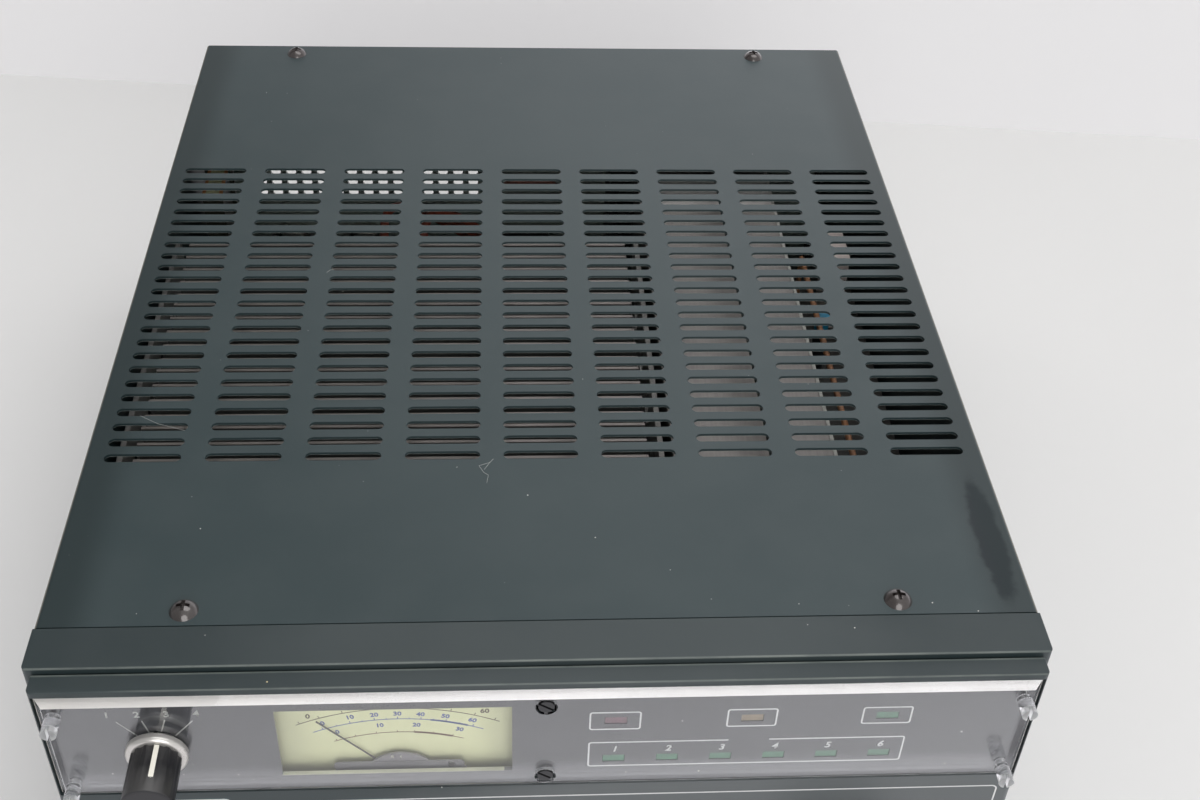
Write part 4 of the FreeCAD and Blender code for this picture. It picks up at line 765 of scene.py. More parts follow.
# Painted light and shade along Y: a painted highlight, a paler band, then painted shade at the back.
TIN_LIGHT_AND_SHADE = [
    (65.5, 67.5, (0.95, 0.90, 0.88)),
    (77.5, 78.5, (0.60, 0.60, 0.58)),
    (83.0, 86.0, (0.06, 0.06, 0.058)),
]
for start, full, colour in TIN_LIGHT_AND_SHADE:
    tin.over(tin.ramp("Y", start, full), colour)
add_dust(tin, 0.3)
dress(tin.done(), "shield_lids")


def topped_finish(name, body_colour, top_colour, level, rough=0.5, soft=0.3, left_top=None):
    """Dark below a height and pale above it: painted shade on the body and a painted highlight on its upper
    edge.
    """
    made = start_finish(name, body_colour, rough, cloud=0.2, cloud_scale=40.0, grain=1400.0)
    add_lines(made, (14.0, 1400.0, 1400.0), strength=0.2, tone=0.1)
    if left_top:
        top_colour = blend_colour(made.tree, made.ramp("X", -50.0, 10.0), left_top, top_colour)
    made.over(made.ramp("Z", level - soft, level), top_colour)
    add_dust(made, 0.15)
    return made.done()


# %% Sink, shield box and rear panel
SINK_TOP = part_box("heat_sink")[1].z / MM
BOX_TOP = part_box("shield_lids")[1].z / MM - 0.8
# The sink's top is a painted highlight, dimmer at the left; the box gets painted shade below and a painted
# highlight near its top.
SINK_PALE, SINK_LEFT = (0.38, 0.34, 0.325), (0.22, 0.20, 0.185)
sink = topped_finish("sink_extrusion", (0.09, 0.093, 0.085), SINK_PALE, SINK_TOP - 0.1, left_top=SINK_LEFT)
dress(sink, "heat_sink")
BOX_DARK, BOX_PALE = (0.05, 0.05, 0.045), (0.60, 0.60, 0.56)
dress(topped_finish("shield_box_tin", BOX_DARK, BOX_PALE, BOX_TOP - 0.2, soft=0.8), "shield_box")
rear = start_finish("rear_paint", (0.05, 0.06, 0.063), 0.5)
# Painted light: the rear panel's inside face is made pale, so that more light bounces round the dark
# interior.
REAR_SHEET = (151.4, 151.7)
rear.over(rear.ramp("Y", *REAR_SHEET, 1.0, 0.0), (0.44, 0.50, 0.46))
add_dust(rear, 0.12)
dress(rear.done(), "rear_panel")

# %% [markdown]
# Mouldings and boards: rubber feet, black switch and fan mouldings, the pale meter box,
# switch bodies, ferrite and ceramic, and the green boards with their paler traces. The
# parts are named in one string, followed by the finish they share. Traces could be drawn
# one by one, but nobody can follow them through the slots, so a Brick texture draws them.

# %% Mouldings and boards
rubber = plain_finish("rubber", (0.02, 0.02, 0.02), 0.8, film=0.1, grain=900.0, bumps=0.5)
dress(rubber, "feet")
wear("fan_frame fan_rotor power_switch button_housing dc_inlet control_socket",
     "black_moulding", (0.022, 0.022, 0.024), 0.42, film=0.1, grain=1200.0)
wear("mode_button reset_button", "grey_key", (0.16, 0.165, 0.17), 0.45, film=0.04, grain=1400.0)
wear("power_rocker", "rocker_black", (0.018, 0.018, 0.02), 0.3, film=0.02)
wear("meter_case", "pale_moulding", (0.50, 0.50, 0.40), 0.4, film=0.05)
wear("meter_switch band_switch", "switch_body", (0.42, 0.40, 0.36), 0.45, film=0.1, metallic=0.4)
wear("pa_transformers", "ferrite", (0.045, 0.045, 0.048), 0.6, film=0.2, grain=700.0, bumps=0.5)
wear("ceramic_block pa_transistors", "ceramic", (0.80, 0.70, 0.66), 0.6, film=0.1, grain=1500.0)
wear("coax_insulators", "insulator", (0.68, 0.66, 0.58), 0.35, film=0.03)


# %% Boards


def board_finish(name, colour):
    """Solder resist with straight traces under it."""
    board = start_finish(name, colour, 0.35, cloud=0.12, cloud_scale=60.0, grain=1500.0, bumps=0.1)
    place = object_place(board.tree)
    traces = add(board.tree, "TexBrick", Vector=place, Scale=120.0, Mortar_Size=0.06, Mortar_Smooth=0.1)
    board.over(traces.outputs["Fac"], shade(colour, 1.8), 0.3)
    board.bump(traces.outputs["Fac"], 0.4, 0.05)
    add_dust(board, 0.3)
    return board.done()


green_board = board_finish("green_board", (0.05, 0.13, 0.075))
dress(green_board, "control_board", "pa_board", "filter_board", "lamp_board")
wear("board_parts", "dark_parts", (0.10, 0.10, 0.11), 0.4, film=0.25)

# %% [markdown]
# The colours that show through the slots: a copper-brown lead beside the shield box, the
# orange supply leads, a small blue capacitor and an old yellow-green relay. All could be one
# colour from top to bottom, as the leads are. The capacitor and the relay are bright only at
# their upper ends, where light falls on them, so that the depth below stays dark.

# %% Coloured parts inside
wear("copper_line", "copper", (0.50, 0.24, 0.12), 0.4, film=0.2, metallic=0.45, cloud=0.2)
wear("supply_wires", "orange_lead", (0.34, 0.075, 0.04), 0.45, film=0.12, grain=900.0)
CAP_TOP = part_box("blue_capacitor")[1].z / MM
sleeve = topped_finish("blue_sleeve", (0.02, 0.02, 0.022), (0.03, 0.30, 0.50), CAP_TOP - 6.5, 0.32, 0.5)
dress(sleeve, "blue_capacitor")
RELAY_LOW, RELAY_HIGH = [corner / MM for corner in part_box("rear_relay")]
relay = start_finish("relay_cover", (0.05, 0.05, 0.035), 0.5, cloud=0.2, cloud_scale=300.0)
relay_level = relay.ramp("Z", RELAY_HIGH.z - 2.7, RELAY_HIGH.z - 2.3)
relay_top = relay.times(relay_level, relay.ramp("Y", RELAY_HIGH.y - 1.9, RELAY_HIGH.y - 1.6, 1.0, 0.0))
relay.over(relay_top, (0.95, 0.92, 0.55))
relay_ends = relay.ramp(relay.off("X", (RELAY_LOW.x + RELAY_HIGH.x) / 2), 2.1, 2.5)
relay.over(relay.times(relay_top, relay_ends), (0.90, 0.40, 0.15))
dress(relay.done(), "rear_relay")

# %% [markdown]
# ## The front
#
# Behind the window lies a dark printed panel, glossy because it is printed from behind.
# The meter has its own warm, slightly green dial, a black needle and a smoky cover over the
# pivot. The lenses of the unlit lamps are dull, with the light of the room in them. A lit
# lens would need emission. These are off, so a coat over a fine ribbed colour is enough.

# %% Panel, dial and meter
panel = start_finish("panel_dark", (0.050, 0.050, 0.056), 0.5, cloud=0.04, grain=800.0, bumps=0.0)
panel.over(panel.ramp("Z", height(38.0), height(30.0), 0.9, 0.0), (0.20, 0.197, 0.21))
panel.coat(1.0, 0.06)
dress(panel.done(), "printed_panel")

dial = start_finish("dial_card", (0.66, 0.66, 0.42), 0.55, cloud=0.03, cloud_scale=80.0, bumps=0.08)
# The dial is made darker over a wide patch low in the middle.
darker_low_patch = dial.spot((-35.0, DIAL_Y, height(45.0)), (42.0, 4.0, 12.0), 0.3)
dial.over(dial.times(darker_low_patch, 0.35), (0.42, 0.41, 0.25))
# Painted shade: the dial is made darker towards both ends.
dial.over(dial.ramp(dial.off("X", -36.1), 17.0, 27.0, 0.0, 0.6), (0.47, 0.465, 0.315))
dress(dial.done(), "meter_dial")
wear("meter_needle", "needle_black", (0.09, 0.08, 0.08), 0.45, film=0.0)
wear("meter_pivot_cover", "pivot_smoke", (0.19, 0.18, 0.19), 0.35, film=0.12)
wear("meter_movement", "magnet", (0.16, 0.16, 0.17), 0.4, film=0.1, metallic=0.6)


# %% Lamps


def lens_finish(name, colour):
    """A dull moulded lens: a coat over a colour with fine ribs."""
    lens = start_finish(name, colour, 0.4, cloud=0.2, cloud_scale=300.0, grain=1800.0, bumps=0.3)
    add_lines(lens, (4000.0, 200.0, 200.0), strength=0.35, tone=0.2)
    lens.coat(0.5, 0.03)
    return lens.done()


dress(lens_finish("lens_red", (0.14, 0.065, 0.085)), "lamp_red")
dress(lens_finish("lens_amber", (0.205, 0.155, 0.095)), "lamp_amber")
dress(lens_finish("lens_green", (0.060, 0.172, 0.102)), "lamps_green")
wear("window_screws", "dark_screw", (0.05, 0.05, 0.052), 0.3, film=0.05, metallic=0.7)

# %% [markdown]
# Clear plastic is a Principled shader with full transmission. Sampling soft light through
# smooth plastic is slow and speckled, so rays on their way to a lamp are let through by a
# Transparent shader. The posts are ground matt at the front.

# %% Clear plastic


def clear_plastic(name, tint, rough, clear=1.0, ground_to=None):
    """Transmission for the eye, plain transparency for rays towards the lamps."""
    made = start_finish(name, tint, rough, cloud=0.01, grain=300.0, bumps=0.0)
    waves = noise(made.tree, object_place(made.tree), 90.0)
    made.rough = remap(made.tree, waves, 0.4, 0.75, rough, rough + 0.003)
    if ground_to:
        made.over(made.ramp("Y", ground_to, ground_to + 0.5, 1.0, 0.0), (1.0, 1.0, 1.0), 0.45)
    material = made.done()
    made.shader.inputs["Transmission Weight"].default_value = clear
    made.shader.inputs["IOR"].default_value = 1.49
    tree = made.tree
    passing = add(tree, "BsdfTransparent", Color=(0.93, 0.94, 0.94, 1.0))
    to_lamp = add(tree, "LightPath").outputs["Is Shadow Ray"]
    surface = mix_shaders(tree, to_lamp, made.shader.outputs[0], passing.outputs[0])
    feed(tree, tree.nodes["Material Output"].inputs["Surface"], surface)
    return material


dress(clear_plastic("acrylic", (0.97, 0.98, 0.98), 0.0), "window")
POST_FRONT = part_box("window_posts")[0].y / MM
GROUND_TO = POST_FRONT + 1.4
dress(clear_plastic("post_plastic", (0.93, 0.93, 0.95), 0.02, 0.9, GROUND_TO), "window_posts")

# %% [markdown]
# Knobs: satin black grips with broad flutes, a bright turned ring at the foot and a cream
# line for the pointer. The grip could be given a lighter black. Its own colour is close to
# zero instead, because most of what the eye sees of black plastic is gloss and dust.

# %% Knob finishes
knob_black = plain_finish("knob_black", (0.003, 0.003, 0.005), 0.38, film=0.12, grain=1500.0, bumps=0.15)
pointer_cream = plain_finish("pointer_cream", (0.80, 0.77, 0.68), 0.5, film=0.0, grain=1500.0)
ring_bright = plain_finish(
    "ring_bright", (0.61, 0.59, 0.56), 0.3, film=0.0, metallic=0.75, grain=3000.0, bumps=0.1
)
dress(knob_black, "meter_knob", "band_knob")
dress(pointer_cream, "meter_knob_pointer", "band_knob_pointer")
dress(ring_bright, "meter_knob_ring")

# %% [markdown]
# ## Printing on flat faces
#
# The white frames, the numbers and the lines of the meter's scale are ink on a flat face.
# Each is drawn in the plane of the face as thin flat shapes, and the whole sheet is then
# given the thickness of a coat of ink. Real ink stands a few hundredths of a millimetre
# proud, and so does this. Ink could also be a texture, but a shape has clean edges from
# close by.

# %% Flat shapes for printing
UPRIGHT = math.radians(90.0)
INK = 0.04


def flat_bar(x, drop, y, width, tall, tilt=0.0):
    """A thin upright rectangle that faces the reader."""
    return shape(
        bpy.ops.mesh.primitive_plane_add, metres(width, tall, 1.0), size=1.0,
        location=metres(x, y, height(drop)), rotation=(UPRIGHT, -tilt, 0.0),
    )


def flat_line(start, end, y, width):
    """A straight line of ink between two points, each given as x and drop."""
    run = end[0] - start[0]
    rise = start[1] - end[1]
    middle = ((start[0] + end[0]) / 2, (start[1] + end[1]) / 2)
    return flat_bar(*middle, y, math.hypot(run, rise), width, math.atan2(rise, run))


# %% Frames and arcs


def flat_frame(left, right, top, bottom, y, corner, line):
    """A rounded rectangle: bevel the corners of a plane, inset it and drop the middle."""
    frame_shape = flat_bar((left + right) / 2, (top + bottom) / 2, y, right - left, bottom - top)
    pick(frame_shape, everything)
    bpy.ops.mesh.bevel(offset=corner * MM, segments=5, affect="VERTICES")
    bpy.ops.mesh.inset(thickness=line * MM)
    bpy.ops.mesh.delete(type="FACE")
    clear()
    return frame_shape


def flat_arc(centre, radius, left, right, y, width, steps=40):
    """A ribbon along a circle from x=left to x=right, spun from one short edge."""
    start = math.asin((left - centre[0]) / radius)
    turn = math.asin((right - centre[0]) / radius) - start
    place = metres(centre[0] + radius * math.sin(start), y, height(centre[1]) + radius * math.cos(start))
    ribbon = shape(
        bpy.ops.mesh.primitive_plane_add, metres(0.01, width, 1.0), size=1.0,
        location=place, rotation=(UPRIGHT, start, 0.0),
    )
    along = Vector((math.cos(start), 0.0, -math.sin(start)))
    pick(ribbon, lambda co: (co * MM - Vector(place)).dot(along) > 0, "VERT")
    bpy.ops.mesh.delete(type="VERT")
    bpy.ops.mesh.select_all(action="SELECT")
    axis_point = metres(centre[0], y, height(centre[1]))
    bpy.ops.mesh.spin(steps=steps, angle=-turn, center=axis_point, axis=(0.0, 1.0, 0.0))
    clear()
    return ribbon


# %% Numbers and the sheet of ink


def flat_text(text, x, drop, y, size, slant=0.0, turn=0.0):
    """A generic number or mark, centred on a point."""
    clear()
    bpy.ops.object.text_add(location=metres(x, y, height(drop)), rotation=(UPRIGHT, turn, 0.0))
    word = bpy.context.object
    word.data.body = text
    word.data.size = size * MM
    word.data.shear = slant
    word.data.align_x = "CENTER"
    word.data.align_y = "CENTER"
    word.data.offset = 0.03 * size * MM
    word.data.resolution_u = 3
    bpy.ops.object.convert(target="MESH")
    bake_place(word)
    return word


def print_sheet(name, shapes, material):
    """Join flat shapes, point them at the reader and give them the thickness of ink."""
    sheet = merge(name, shapes)
    pick(sheet, everything, "VERT")
    bpy.ops.mesh.remove_doubles(threshold=0.000002)
    bpy.ops.object.mode_set(mode="OBJECT")
    pick(sheet, lambda co, normal: normal.y > 0)
    bpy.ops.mesh.flip_normals()
    clear()
    thicken(sheet, INK, 1.0)
    settle(sheet, name, material)


# %% [markdown]
# ## The printed panel
#
# Three lamps each have a rounded frame, and a long frame holds a row of six with a gap in
# its top line. The words that such a panel carries are left off. The row of lamps is
# numbered 1 to 6, and the selector's four positions 1 to 4, with thin leader lines. A frame
# could be four bars and four arcs. A plane that is rounded and inset gives it in two steps,
# with a line of even width.

# %% Panel printing
ink_white = plain_finish("ink_white", (0.62, 0.62, 0.62), 0.5, film=0.0, cloud=0.04)
PANEL_LINE = 0.42
FRAME_SIDES = [
    (9.9, 22.3, 13.3, 20.0),
    (42.8, 55.0, 13.1, 19.8),
    (75.5, 87.7, 13.3, 19.7),
    (9.9, 87.45, 24.7, 34.3),
]
frames = [flat_frame(*sides, PANEL_Y, 0.8, PANEL_LINE) for sides in FRAME_SIDES]
long_frame = frames[-1]
GAP = (43.9, 53.9)
for x in GAP:
    pick(long_frame, everything)
    bpy.ops.mesh.bisect(plane_co=metres(x, 0.0, 0.0), plane_no=(1.0, 0.0, 0.0))
    clear()
drop_faces(long_frame, lambda co, normal: GAP[0] < co.x < GAP[1] and co.z > height(28.0))
FIRST_LAMP, LAMP_PITCH = 16.3, 13.06
for i in range(6):
    frames.append(flat_text(str(i + 1), FIRST_LAMP + LAMP_PITCH * i, 27.7, PANEL_Y, 3.0, slant=0.2))
print_sheet("panel_frames", frames, ink_white)

# %% Selector marks
LEADERS = [
    ((-100.0, 13.3), (-95.9, 18.6)),
    ((-94.1, 13.1), (-93.0, 17.6)),
    ((-88.8, 12.9), (-90.2, 17.3)),
    ((-82.5, 13.4), (-87.2, 18.9)),
]
leaders = [flat_line(a, b, PANEL_Y, 0.3) for a, b in LEADERS]
for text, x in zip("1234", (-101.8, -95.0, -88.2, -81.4)):
    leaders.append(flat_text(text, x, 10.9, PANEL_Y, 2.9))
ink_pale = plain_finish("ink_pale", (0.40, 0.40, 0.38), 0.5, film=0.0, cloud=0.04)
print_sheet("selector_marks", leaders, ink_pale)

# %% [markdown]
# ## The meter's scale
#
# The dial has three scales one above the other, each a thin arc with its own centre: brown,
# blue and red-brown. The lower two have a thick part towards the right. Ticks stand on the
# arcs, and the numbers run from 0 upwards. An arc could be a curve with a bevel. One short
# edge that is spun about the arc's centre gives a flat ribbon with square ends.

# %% Scale arcs and ticks
METER_X = -35.7
TOP_ARC = ((-35.77, 70.08), 54.2)
BLUE_ARC = ((-35.67, 68.01), 48.1)
LOW_ARC = ((-35.52, 66.17), 41.24)


def tick(arc, x, out, width):
    """A short line that stands on an arc at a given x."""
    (cx, drop), radius = arc
    angle = math.asin((x - cx) / radius)
    reaches = (radius, radius + out)
    ends = [(cx + reach * math.sin(angle), drop - reach * math.cos(angle)) for reach in reaches]
    return flat_line(*ends, DIAL_Y, width)


def dial_number(text, x, drop, size):
    """A number that leans outwards with its distance from the meter's middle."""
    return flat_text(text, x, drop, DIAL_Y, size, turn=math.radians((x - METER_X) * 1.1))


# %% The three scales
brown = [flat_arc(*TOP_ARC, -60.0, -11.4, DIAL_Y, 0.22)]
BROWN_TICKS = (-59.0, -54.2, -48.6, -42.4, -35.8, -29.2, -23.0, -17.4, -12.6)
brown += [tick(TOP_ARC, x, 0.9, 0.18) for x in BROWN_TICKS]
brown.append(flat_text("0", -56.9, 18.4, DIAL_Y, 2.2))
brown.append(flat_text("60", -14.9, 17.6, DIAL_Y, 2.2))
print_sheet("scale_brown", brown, plain_finish("ink_brown", (0.10, 0.075, 0.05), 0.6, film=0.0))

blue = [flat_arc(*BLUE_ARC, -56.1, -15.3, DIAL_Y, 0.22)]
blue.append(flat_arc(*BLUE_ARC, -27.9, -19.0, DIAL_Y, 0.55, 16))
BLUE_PLACES = [(-53.6, 21.1), (-47.0, 19.0), (-41.2, 18.3), (-35.7, 18.0), (-30.2, 18.4), (-24.3, 19.3),
               (-17.9, 21.0)]
for i, (x, drop) in enumerate(BLUE_PLACES):
    blue += [dial_number(str(10 * i), x, drop, 2.0), tick(BLUE_ARC, x, 0.8, 0.2)]
blue += [tick(BLUE_ARC, x, 0.5, 0.16) for x in (-50.3, -44.1, -38.4, -33.0, -27.2, -21.1)]
for i, (x, drop) in enumerate([(-50.3, 24.5), (-40.1, 22.3), (-31.3, 22.4), (-21.05, 24.4)]):
    blue.append(dial_number(str(10 * i), x, drop, 1.9))
print_sheet("scale_blue", blue, plain_finish("ink_blue", (0.10, 0.13, 0.36), 0.6, film=0.0))

rust = [flat_arc(*LOW_ARC, -51.3, -20.2, DIAL_Y, 0.2)]
rust.append(flat_arc(*LOW_ARC, -31.9, -22.8, DIAL_Y, 0.6, 16))
rust += [tick(LOW_ARC, x, 0.6, 0.18) for x in (-50.6, -46.0, -41.0, -36.0, -31.9, -27.4, -22.8)]
print_sheet("scale_rust", rust, plain_finish("ink_rust", (0.16, 0.08, 0.06), 0.6, film=0.0))

# %% [markdown]
# ## The window's ground edge
#
# The window is a thick clear sheet with a bevel all round. A bevel cut with a saw and
# sanded stays matt, gathers the light that travels inside the sheet and glows. That glow is
# painted light here: the strips on the bevel are a pale matt colour that stands in for the
# light carried in the sheet, with painted shade towards the left. The window's own faces
# could be given the matt finish, but they belong to one solid with one finish. So a plane of
# the window's size is inset, the inset face is pulled forward by as much and removed, and
# what is left are four mitred slopes. Only the wanted sides are kept.

# %% Ground bevel strips
ground = start_finish(
    "ground_edge_glow", (0.92, 0.895, 0.89), 0.45, cloud=0.05, cloud_scale=35.0, grain=900.0, bumps=0.1
)
add_lines(ground, (6.0, 900.0, 900.0), strength=0.15, tone=0.10)
# Painted shade: the strips are made darker towards the left.
ground.over(ground.ramp("X", -115.0, 0.0, 1.0, 0.0), (0.74, 0.715, 0.69))
ground.coat(0.4, 0.03)
ground_edge_glow = ground.done()

# %% The strips
WINDOW_LOW, WINDOW_HIGH = [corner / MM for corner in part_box("window")]
BEVEL = 2.0
STRIP = 0.05


def bevel_strip(name, keep, material, start=0.0, width=BEVEL):
    """Matt slopes on the bevel, from a start off its outer edge; keep tests the middle of a side."""
    x0, x1 = WINDOW_LOW.x + start, WINDOW_HIGH.x - start
    z0, z1 = WINDOW_LOW.z + start, WINDOW_HIGH.z - start
    ring = flat_bar((x0 + x1) / 2, LID_TOP - (z0 + z1) / 2, WINDOW_Y + BEVEL - start, x1 - x0, z1 - z0)
    pick(ring, everything)
    bpy.ops.mesh.inset(thickness=width * MM)
    bpy.ops.transform.translate(value=metres(0.0, -width, 0.0))
    bpy.ops.mesh.delete(type="FACE")
    clear()
    drop_faces(ring, lambda co, normal: not keep(co))
    thicken(ring, STRIP, -1.0)
    pick(ring, everything, "VERT")
    bpy.ops.mesh.remove_doubles(threshold=0.000001)
    bpy.ops.mesh.normals_make_consistent(inside=False)
    clear()
    settle(ring, name, material)


SIDE_MIDDLE = (WINDOW_LOW.z + WINDOW_HIGH.z) / 2
bevel_strip("window_bevel_top", lambda co: co.z > SIDE_MIDDLE + 5.0, ground_edge_glow)
bevel_strip("window_bevel_sides", lambda co: abs(co.z - SIDE_MIDDLE) < 5.0, ground_edge_glow, 0.0, 0.4)
bevel_strip("window_bevel_low", lambda co: co.z < SIDE_MIDDLE - 5.0, ground_edge_glow, 1.7, 0.3)

# %% [markdown]
# ## Knob, ring and pointer
#
# The selector knob is a turned grip with broad flutes that run out before a plain front
# band. Fourteen tapered cutters make the flutes in one boolean cut. Faces of the grip could
# be pushed in instead, but a round cutter leaves the hollow and its run-out in one step. The
# front face is recessed inside a rim. The ring at the foot is turned with a full round edge.

# %% Turned shapes


def turned(radius, y0, y1, x, z, sides=96, front_radius=None):
    """A cylinder, or a cone towards the front, along Y between two planes."""
    return shape(
        bpy.ops.mesh.primitive_cone_add, vertices=sides, radius1=radius * MM,
        radius2=(front_radius or radius) * MM, depth=(y1 - y0) * MM,
        location=metres(x, (y0 + y1) / 2, z), rotation=(UPRIGHT, 0.0, 0.0),
    )


def soften_rim(piece, y, radius, segments):
    """Round the edges of a turned piece that lie in the plane y."""
    round_edges(piece, lambda a, b: abs(a.y - y) < 0.01 and abs(b.y - y) < 0.01, radius, segments)


# %% Sizes of the knob
KNOB_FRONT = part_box("meter_knob")[0].y / MM
RING_LOW, RING_HIGH = [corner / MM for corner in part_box("meter_knob_ring")]
LINE_LOW, LINE_HIGH = [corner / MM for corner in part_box("meter_knob_pointer")]
KNOB_X, KNOB_Z = (RING_LOW.x + RING_HIGH.x) / 2, (RING_LOW.z + RING_HIGH.z) / 2
GRIP_R = 5.95
RING_R = 7.3
RING_FRONT = RING_LOW.y - 0.15
REST_TURN = math.atan2((LINE_LOW.x + LINE_HIGH.x) / 2 - KNOB_X, (LINE_LOW.z + LINE_HIGH.z) / 2 - KNOB_Z)
FLUTES = 14
FLUTE_R, FLUTE_END_R = 1.6, 1.12
FLUTE_RING = GRIP_R + 1.15
PLAIN_BAND = 2.2
FACE_RIM, FACE_RECESS = 0.75, 0.4
LINE_WIDE, LINE_THICK = 1.12, 0.36
print("knob at", round(KNOB_X, 2), round(KNOB_Z, 2), "turned", round(math.degrees(REST_TURN), 1), "degrees")

# %% Knob ring
ring = turned(RING_R, RING_FRONT, RING_HIGH.y, KNOB_X, KNOB_Z)
soften_rim(ring, RING_FRONT, 1.25, 6)
ring = settle(ring, "selector_ring", ring_bright, "meter_selector", smooth=50)
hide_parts("meter_knob_ring")

# %% Knob grip
grip = turned(GRIP_R, KNOB_FRONT, RING_LOW.y, KNOB_X, KNOB_Z)
soften_rim(grip, KNOB_FRONT, 0.35, 3)
cutters = []
for i in range(FLUTES):
    angle = REST_TURN + math.radians((i + 0.5) * 360.0 / FLUTES)
    place = (KNOB_X + FLUTE_RING * math.sin(angle), KNOB_Z + FLUTE_RING * math.cos(angle))
    cutters.append(turned(FLUTE_R, KNOB_FRONT + PLAIN_BAND, RING_LOW.y + 0.2, *place, 24, FLUTE_END_R))
cutter = merge("flute_cutters", cutters)
cut = grip.modifiers.new("flutes", "BOOLEAN")
cut.object = cutter
cut.operation = "DIFFERENCE"
cut.solver = "EXACT"
apply_modifiers(grip)
bpy.data.objects.remove(cutter)
pick(grip, lambda co, normal: normal.y < -0.99 and co.y < KNOB_FRONT + 0.05)
bpy.ops.mesh.inset(thickness=FACE_RIM * MM)
bpy.ops.mesh.extrude_region_move(TRANSFORM_OT_translate={"value": metres(0.0, FACE_RECESS, 0.0)})
clear()
grip = settle(grip, "selector_grip", knob_black, "meter_selector", smooth=35)
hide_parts("meter_knob")

# %% Knob pointer
POINTER_MIDDLE = GRIP_R - 0.12
middle = (
    KNOB_X + POINTER_MIDDLE * math.sin(REST_TURN), (LINE_LOW.y + LINE_HIGH.y) / 2,
    KNOB_Z + POINTER_MIDDLE * math.cos(REST_TURN),
)
pointer = block(middle, (LINE_WIDE, LINE_HIGH.y - LINE_LOW.y, LINE_THICK), (0.0, REST_TURN, 0.0))


def short_front_edge(a, b):
    """Tells the two short edges of the line's front end."""
    return abs(a.y - b.y) < 0.01 and abs(a.y - LINE_LOW.y) < 0.01 and abs(a.z - b.z) > 0.2


round_edges(pointer, short_front_edge, 0.4, 4)
pointer = settle(pointer, "selector_line", pointer_cream, "meter_selector", smooth=30)
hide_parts("meter_knob_pointer")

# %% [markdown]
# ## Lower panel printing
#
# The lower panel is laid out in two outlined fields: the power switch at the left, the keys
# and the band selector at the right. Plain numbers run round the band selector. They could
# be set one by one. A loop over the selector's angles keeps each number at its position.

# %% Lower panel printing
FIELD_SIDES = ((-114.4, -77.1, 43.1, 97.0), (-74.8, 114.4, 44.7, 97.0))
fields = [flat_frame(*sides, RIM_Y, 1.6, 0.4) for sides in FIELD_SIDES]
BAND_LOW, BAND_HIGH = [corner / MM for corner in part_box("band_knob")]
BAND_X, BAND_Z = (BAND_LOW.x + BAND_HIGH.x) / 2, (BAND_LOW.z + BAND_HIGH.z) / 2
NUMBER_RING = 20.5
FIRST_BAND, BAND_STEP = -75.0, 30.0
for i in range(6):
    angle = math.radians(FIRST_BAND + BAND_STEP * i)
    place = (BAND_X + NUMBER_RING * math.sin(angle), LID_TOP - BAND_Z - NUMBER_RING * math.cos(angle))
    fields.append(flat_text(str(i + 1), *place, RIM_Y, 3.2))
fields += [flat_text(text, -95.7, drop, RIM_Y, 3.0) for text, drop in (("ON", 54.0), ("OFF", 94.0))]
print_sheet("lower_marks", fields, ink_white)

# %% [markdown]
# ## Dust and hairs
#
# A few larger specks and fine hairs lie on the lid, where the shader's dust is too even, and
# a few specks cling to the window. Particles could scatter them. There are so few that a
# short list of places is clearer, with a seeded random size for each.

# %% Dust and hairs
dust_pale = plain_finish("dust_pale", (0.62, 0.61, 0.58), 0.8, film=0.0)
dust_gold = plain_finish("dust_gold", (0.55, 0.47, 0.28), 0.6, film=0.0)
hair_pale = plain_finish("hair_pale", (0.34, 0.35, 0.34), 0.7, film=0.0)


def specks(name, places, material, size=0.2, upright=False):
    """Small flattened beads at places given in millimetres."""
    pick_size = random.Random(len(places))
    beads = []
    for place in places:
        wide = size * pick_size.uniform(0.6, 1.4)
        flat = wide * 0.35
        sides = metres(wide, flat, wide) if upright else metres(wide, wide, flat)
        ball = bpy.ops.mesh.primitive_ico_sphere_add
        beads.append(shape(ball, sides, subdivisions=1, radius=1.0, location=metres(*place)))
    settle(beads, name, material)


ON_LID = [(-57.9, -2.0), (-86.0, -101.7), (-94.0, 117.8), (-3.8, -90.9), (-22.3, -80.0), (12.6, -44.0),
          (13.0, -106.5), (73.7, -137.7), (62.5, -136.5), (105.0, -133.0), (61.4, -129.8), (94.3, -130.1),
          (-96.9, -129.7), (31.0, -118.0)]
specks("dust_on_lid", [(x, y, LID_TOP) for x, y in ON_LID], dust_pale, 0.17)
specks("dust_on_rim", [(-64.3, -149.7, LID_TOP - 1.45)], dust_gold, 0.35)
ON_WINDOW = [(31.8, 14.7), (19.3, 34.3), (37.2, 34.5), (-25.6, 38.8), (-86.7, 31.4), (-73.8, 31.9),
             (-70.5, 34.0), (-103.2, 30.5), (98.4, 33.7), (100.2, 21.0), (-84.0, 27.5)]
window_places = [(x, WINDOW_Y, height(drop)) for x, drop in ON_WINDOW]
specks("dust_on_window", window_places, dust_pale, 0.2, upright=True)

# %% Hairs
HAIRS = [
    [(-12.7, -77.0), (-13.7, -78.5), (-15.1, -81.1)],
    [(-16.5, -79.6), (-13.5, -78.3)],
    [(-16.5, -79.6), (-15.2, -82.2), (-14.0, -83.2), (-14.4, -86.2)],
    [(-108.3, -58.4), (-103.0, -61.8), (-95.4, -64.6)],
    [(-63.5, 7.6), (-62.7, 8.8), (-61.6, 9.4)],
]
strands = []
for points in HAIRS:
    strands += rods([(x, y, LID_TOP + 0.04) for x, y in points], 0.05, 6)
settle(strands, "hairs_on_lid", hair_pale)

# %% [markdown]
# ## Low edge of the meter
#
# A smoky bar with round ends lies across the foot of the dial, and a pale strip closes the
# dial's opening below it. The bar could be a cylinder at either end and a box between. One
# box whose four short edges are bevelled by nearly half its height has no joins.

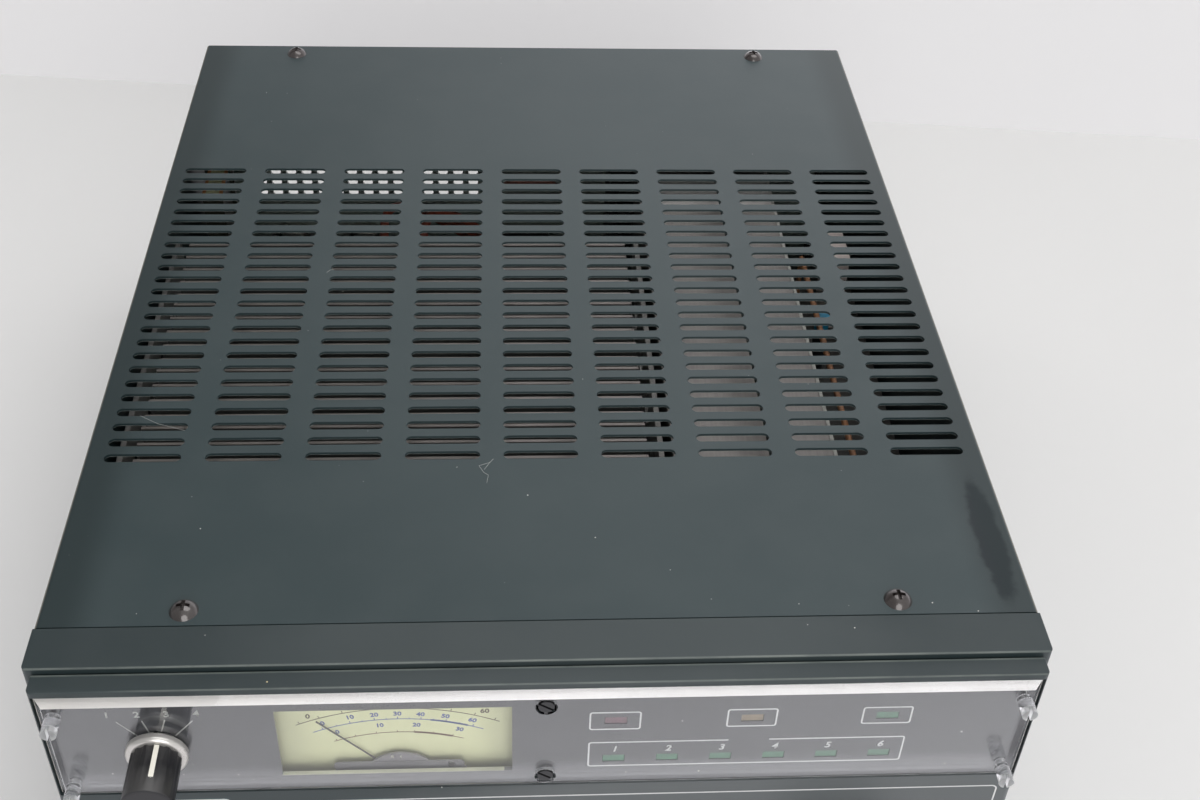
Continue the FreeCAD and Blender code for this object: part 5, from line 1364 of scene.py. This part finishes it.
# %% Bar and strip
COVER_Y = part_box("meter_pivot_cover")[0].y / MM
BAR_Y = COVER_Y - 0.3
BAR_LONG, BAR_TALL = 31.7, 2.9
bar = block((-35.9, (BAR_Y + COVER_Y) / 2, 84.9), (BAR_LONG, COVER_Y - BAR_Y, BAR_TALL))
round_edges(bar, lambda a, b: abs(a.y - b.y) > 0.2, 1.3, 6)
settle(bar, "meter_bar", plain_finish("bar_smoke", (0.168, 0.162, 0.168), 0.4, film=0.1), smooth=40)
strip = block((-37.2, PANEL_Y + 0.46, 84.97), (53.8, 1.0, 0.16))
settle(strip, "meter_strip", plain_finish("strip_cream", (0.50, 0.50, 0.41), 0.5, film=0.0))

# %% [markdown]
# Two rubber seals stand in the rear corners, between the rear panel and the lid's sides.
# A seal could have a moulded outline with lips. Only its dark edge shows in the gap, so each
# is a plain block. Without them the light of the room would fall in through the gaps.

# %% Corner seals
SEAL_SIZE = (1.86, 3.8, 94.0)
SEAL_X = 118.25
settle([block((x, 148.9, 71.4), SEAL_SIZE) for x in (-SEAL_X, SEAL_X)], "corner_seals", rubber)

# %% [markdown]
# ## Small bright screws of the meter
#
# Four tiny bright heads sit low on the meter: three on the cover of the pivot and one on its
# bar. They could have slots. At about a millimetre across these would not show, so each
# head is a short turned disc.

# %% Meter screws
HEADS = [((-37.5, 31.9), 0.45), ((-35.4, 32.0), 0.25), ((-36.6, 35.2), 0.35)]
heads = [turned(radius, COVER_Y - 0.25, COVER_Y, x, height(drop), 24) for (x, drop), radius in HEADS]
heads.append(turned(0.75, BAR_Y - 0.2, BAR_Y, -23.2, height(34.9), 24))
settle(heads, "meter_heads", nickel, smooth=40)

# %% [markdown]
# ## A brown lead and a dust screen
#
# Two things that only show through the vents: a brown lead that arches from board to board
# near the back, and a fine screen inside the bore of the fan. A curve with a bevel would
# give a smoother lead. It is made of straight pieces with a ball at each corner, because
# only a short stretch of it shows in each slot. The screen could be woven wire by wire. Seen
# from afar it is an even grey, so it is a disc, dusty within and black outside.

# %% Brown lead
LEAD_R = 1.1
ARCH = [(-15.0, 108.0, 56.0), (-12.0, 103.0, 88.0), (-6.6, 98.6, 95.0),
        (7.4, 98.6, 95.0), (13.0, 103.0, 88.0), (16.0, 108.0, 56.0)]
lead = rods(ARCH, LEAD_R, 20)
for place in ARCH[1:-1]:
    ball = bpy.ops.mesh.primitive_ico_sphere_add
    lead.append(shape(ball, subdivisions=2, radius=LEAD_R * MM, location=metres(*place)))
settle(lead, "brown_lead", plain_finish("lead_brown", (0.26, 0.09, 0.06), 0.45, film=0.1), smooth=40)

# %% Fan screen
FAN_LOW, FAN_HIGH = [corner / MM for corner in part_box("fan_frame")]
FAN_X, FAN_Z = (FAN_LOW.x + FAN_HIGH.x) / 2, (FAN_LOW.z + FAN_HIGH.z) / 2
SCREEN_R = 27.7
SCREEN_FRONT, SCREEN_BACK = FAN_HIGH.y - 0.5, FAN_HIGH.y - 0.1
screen = turned(SCREEN_R, SCREEN_FRONT, SCREEN_BACK, FAN_X, FAN_Z, 64)
screen_grey = start_finish("screen_grey", (0.13, 0.155, 0.14), 0.7)
screen_grey.over(screen_grey.ramp("Y", SCREEN_BACK - 0.1, SCREEN_BACK - 0.02), (0.016, 0.017, 0.017))
settle(screen, "fan_screen", screen_grey.done())
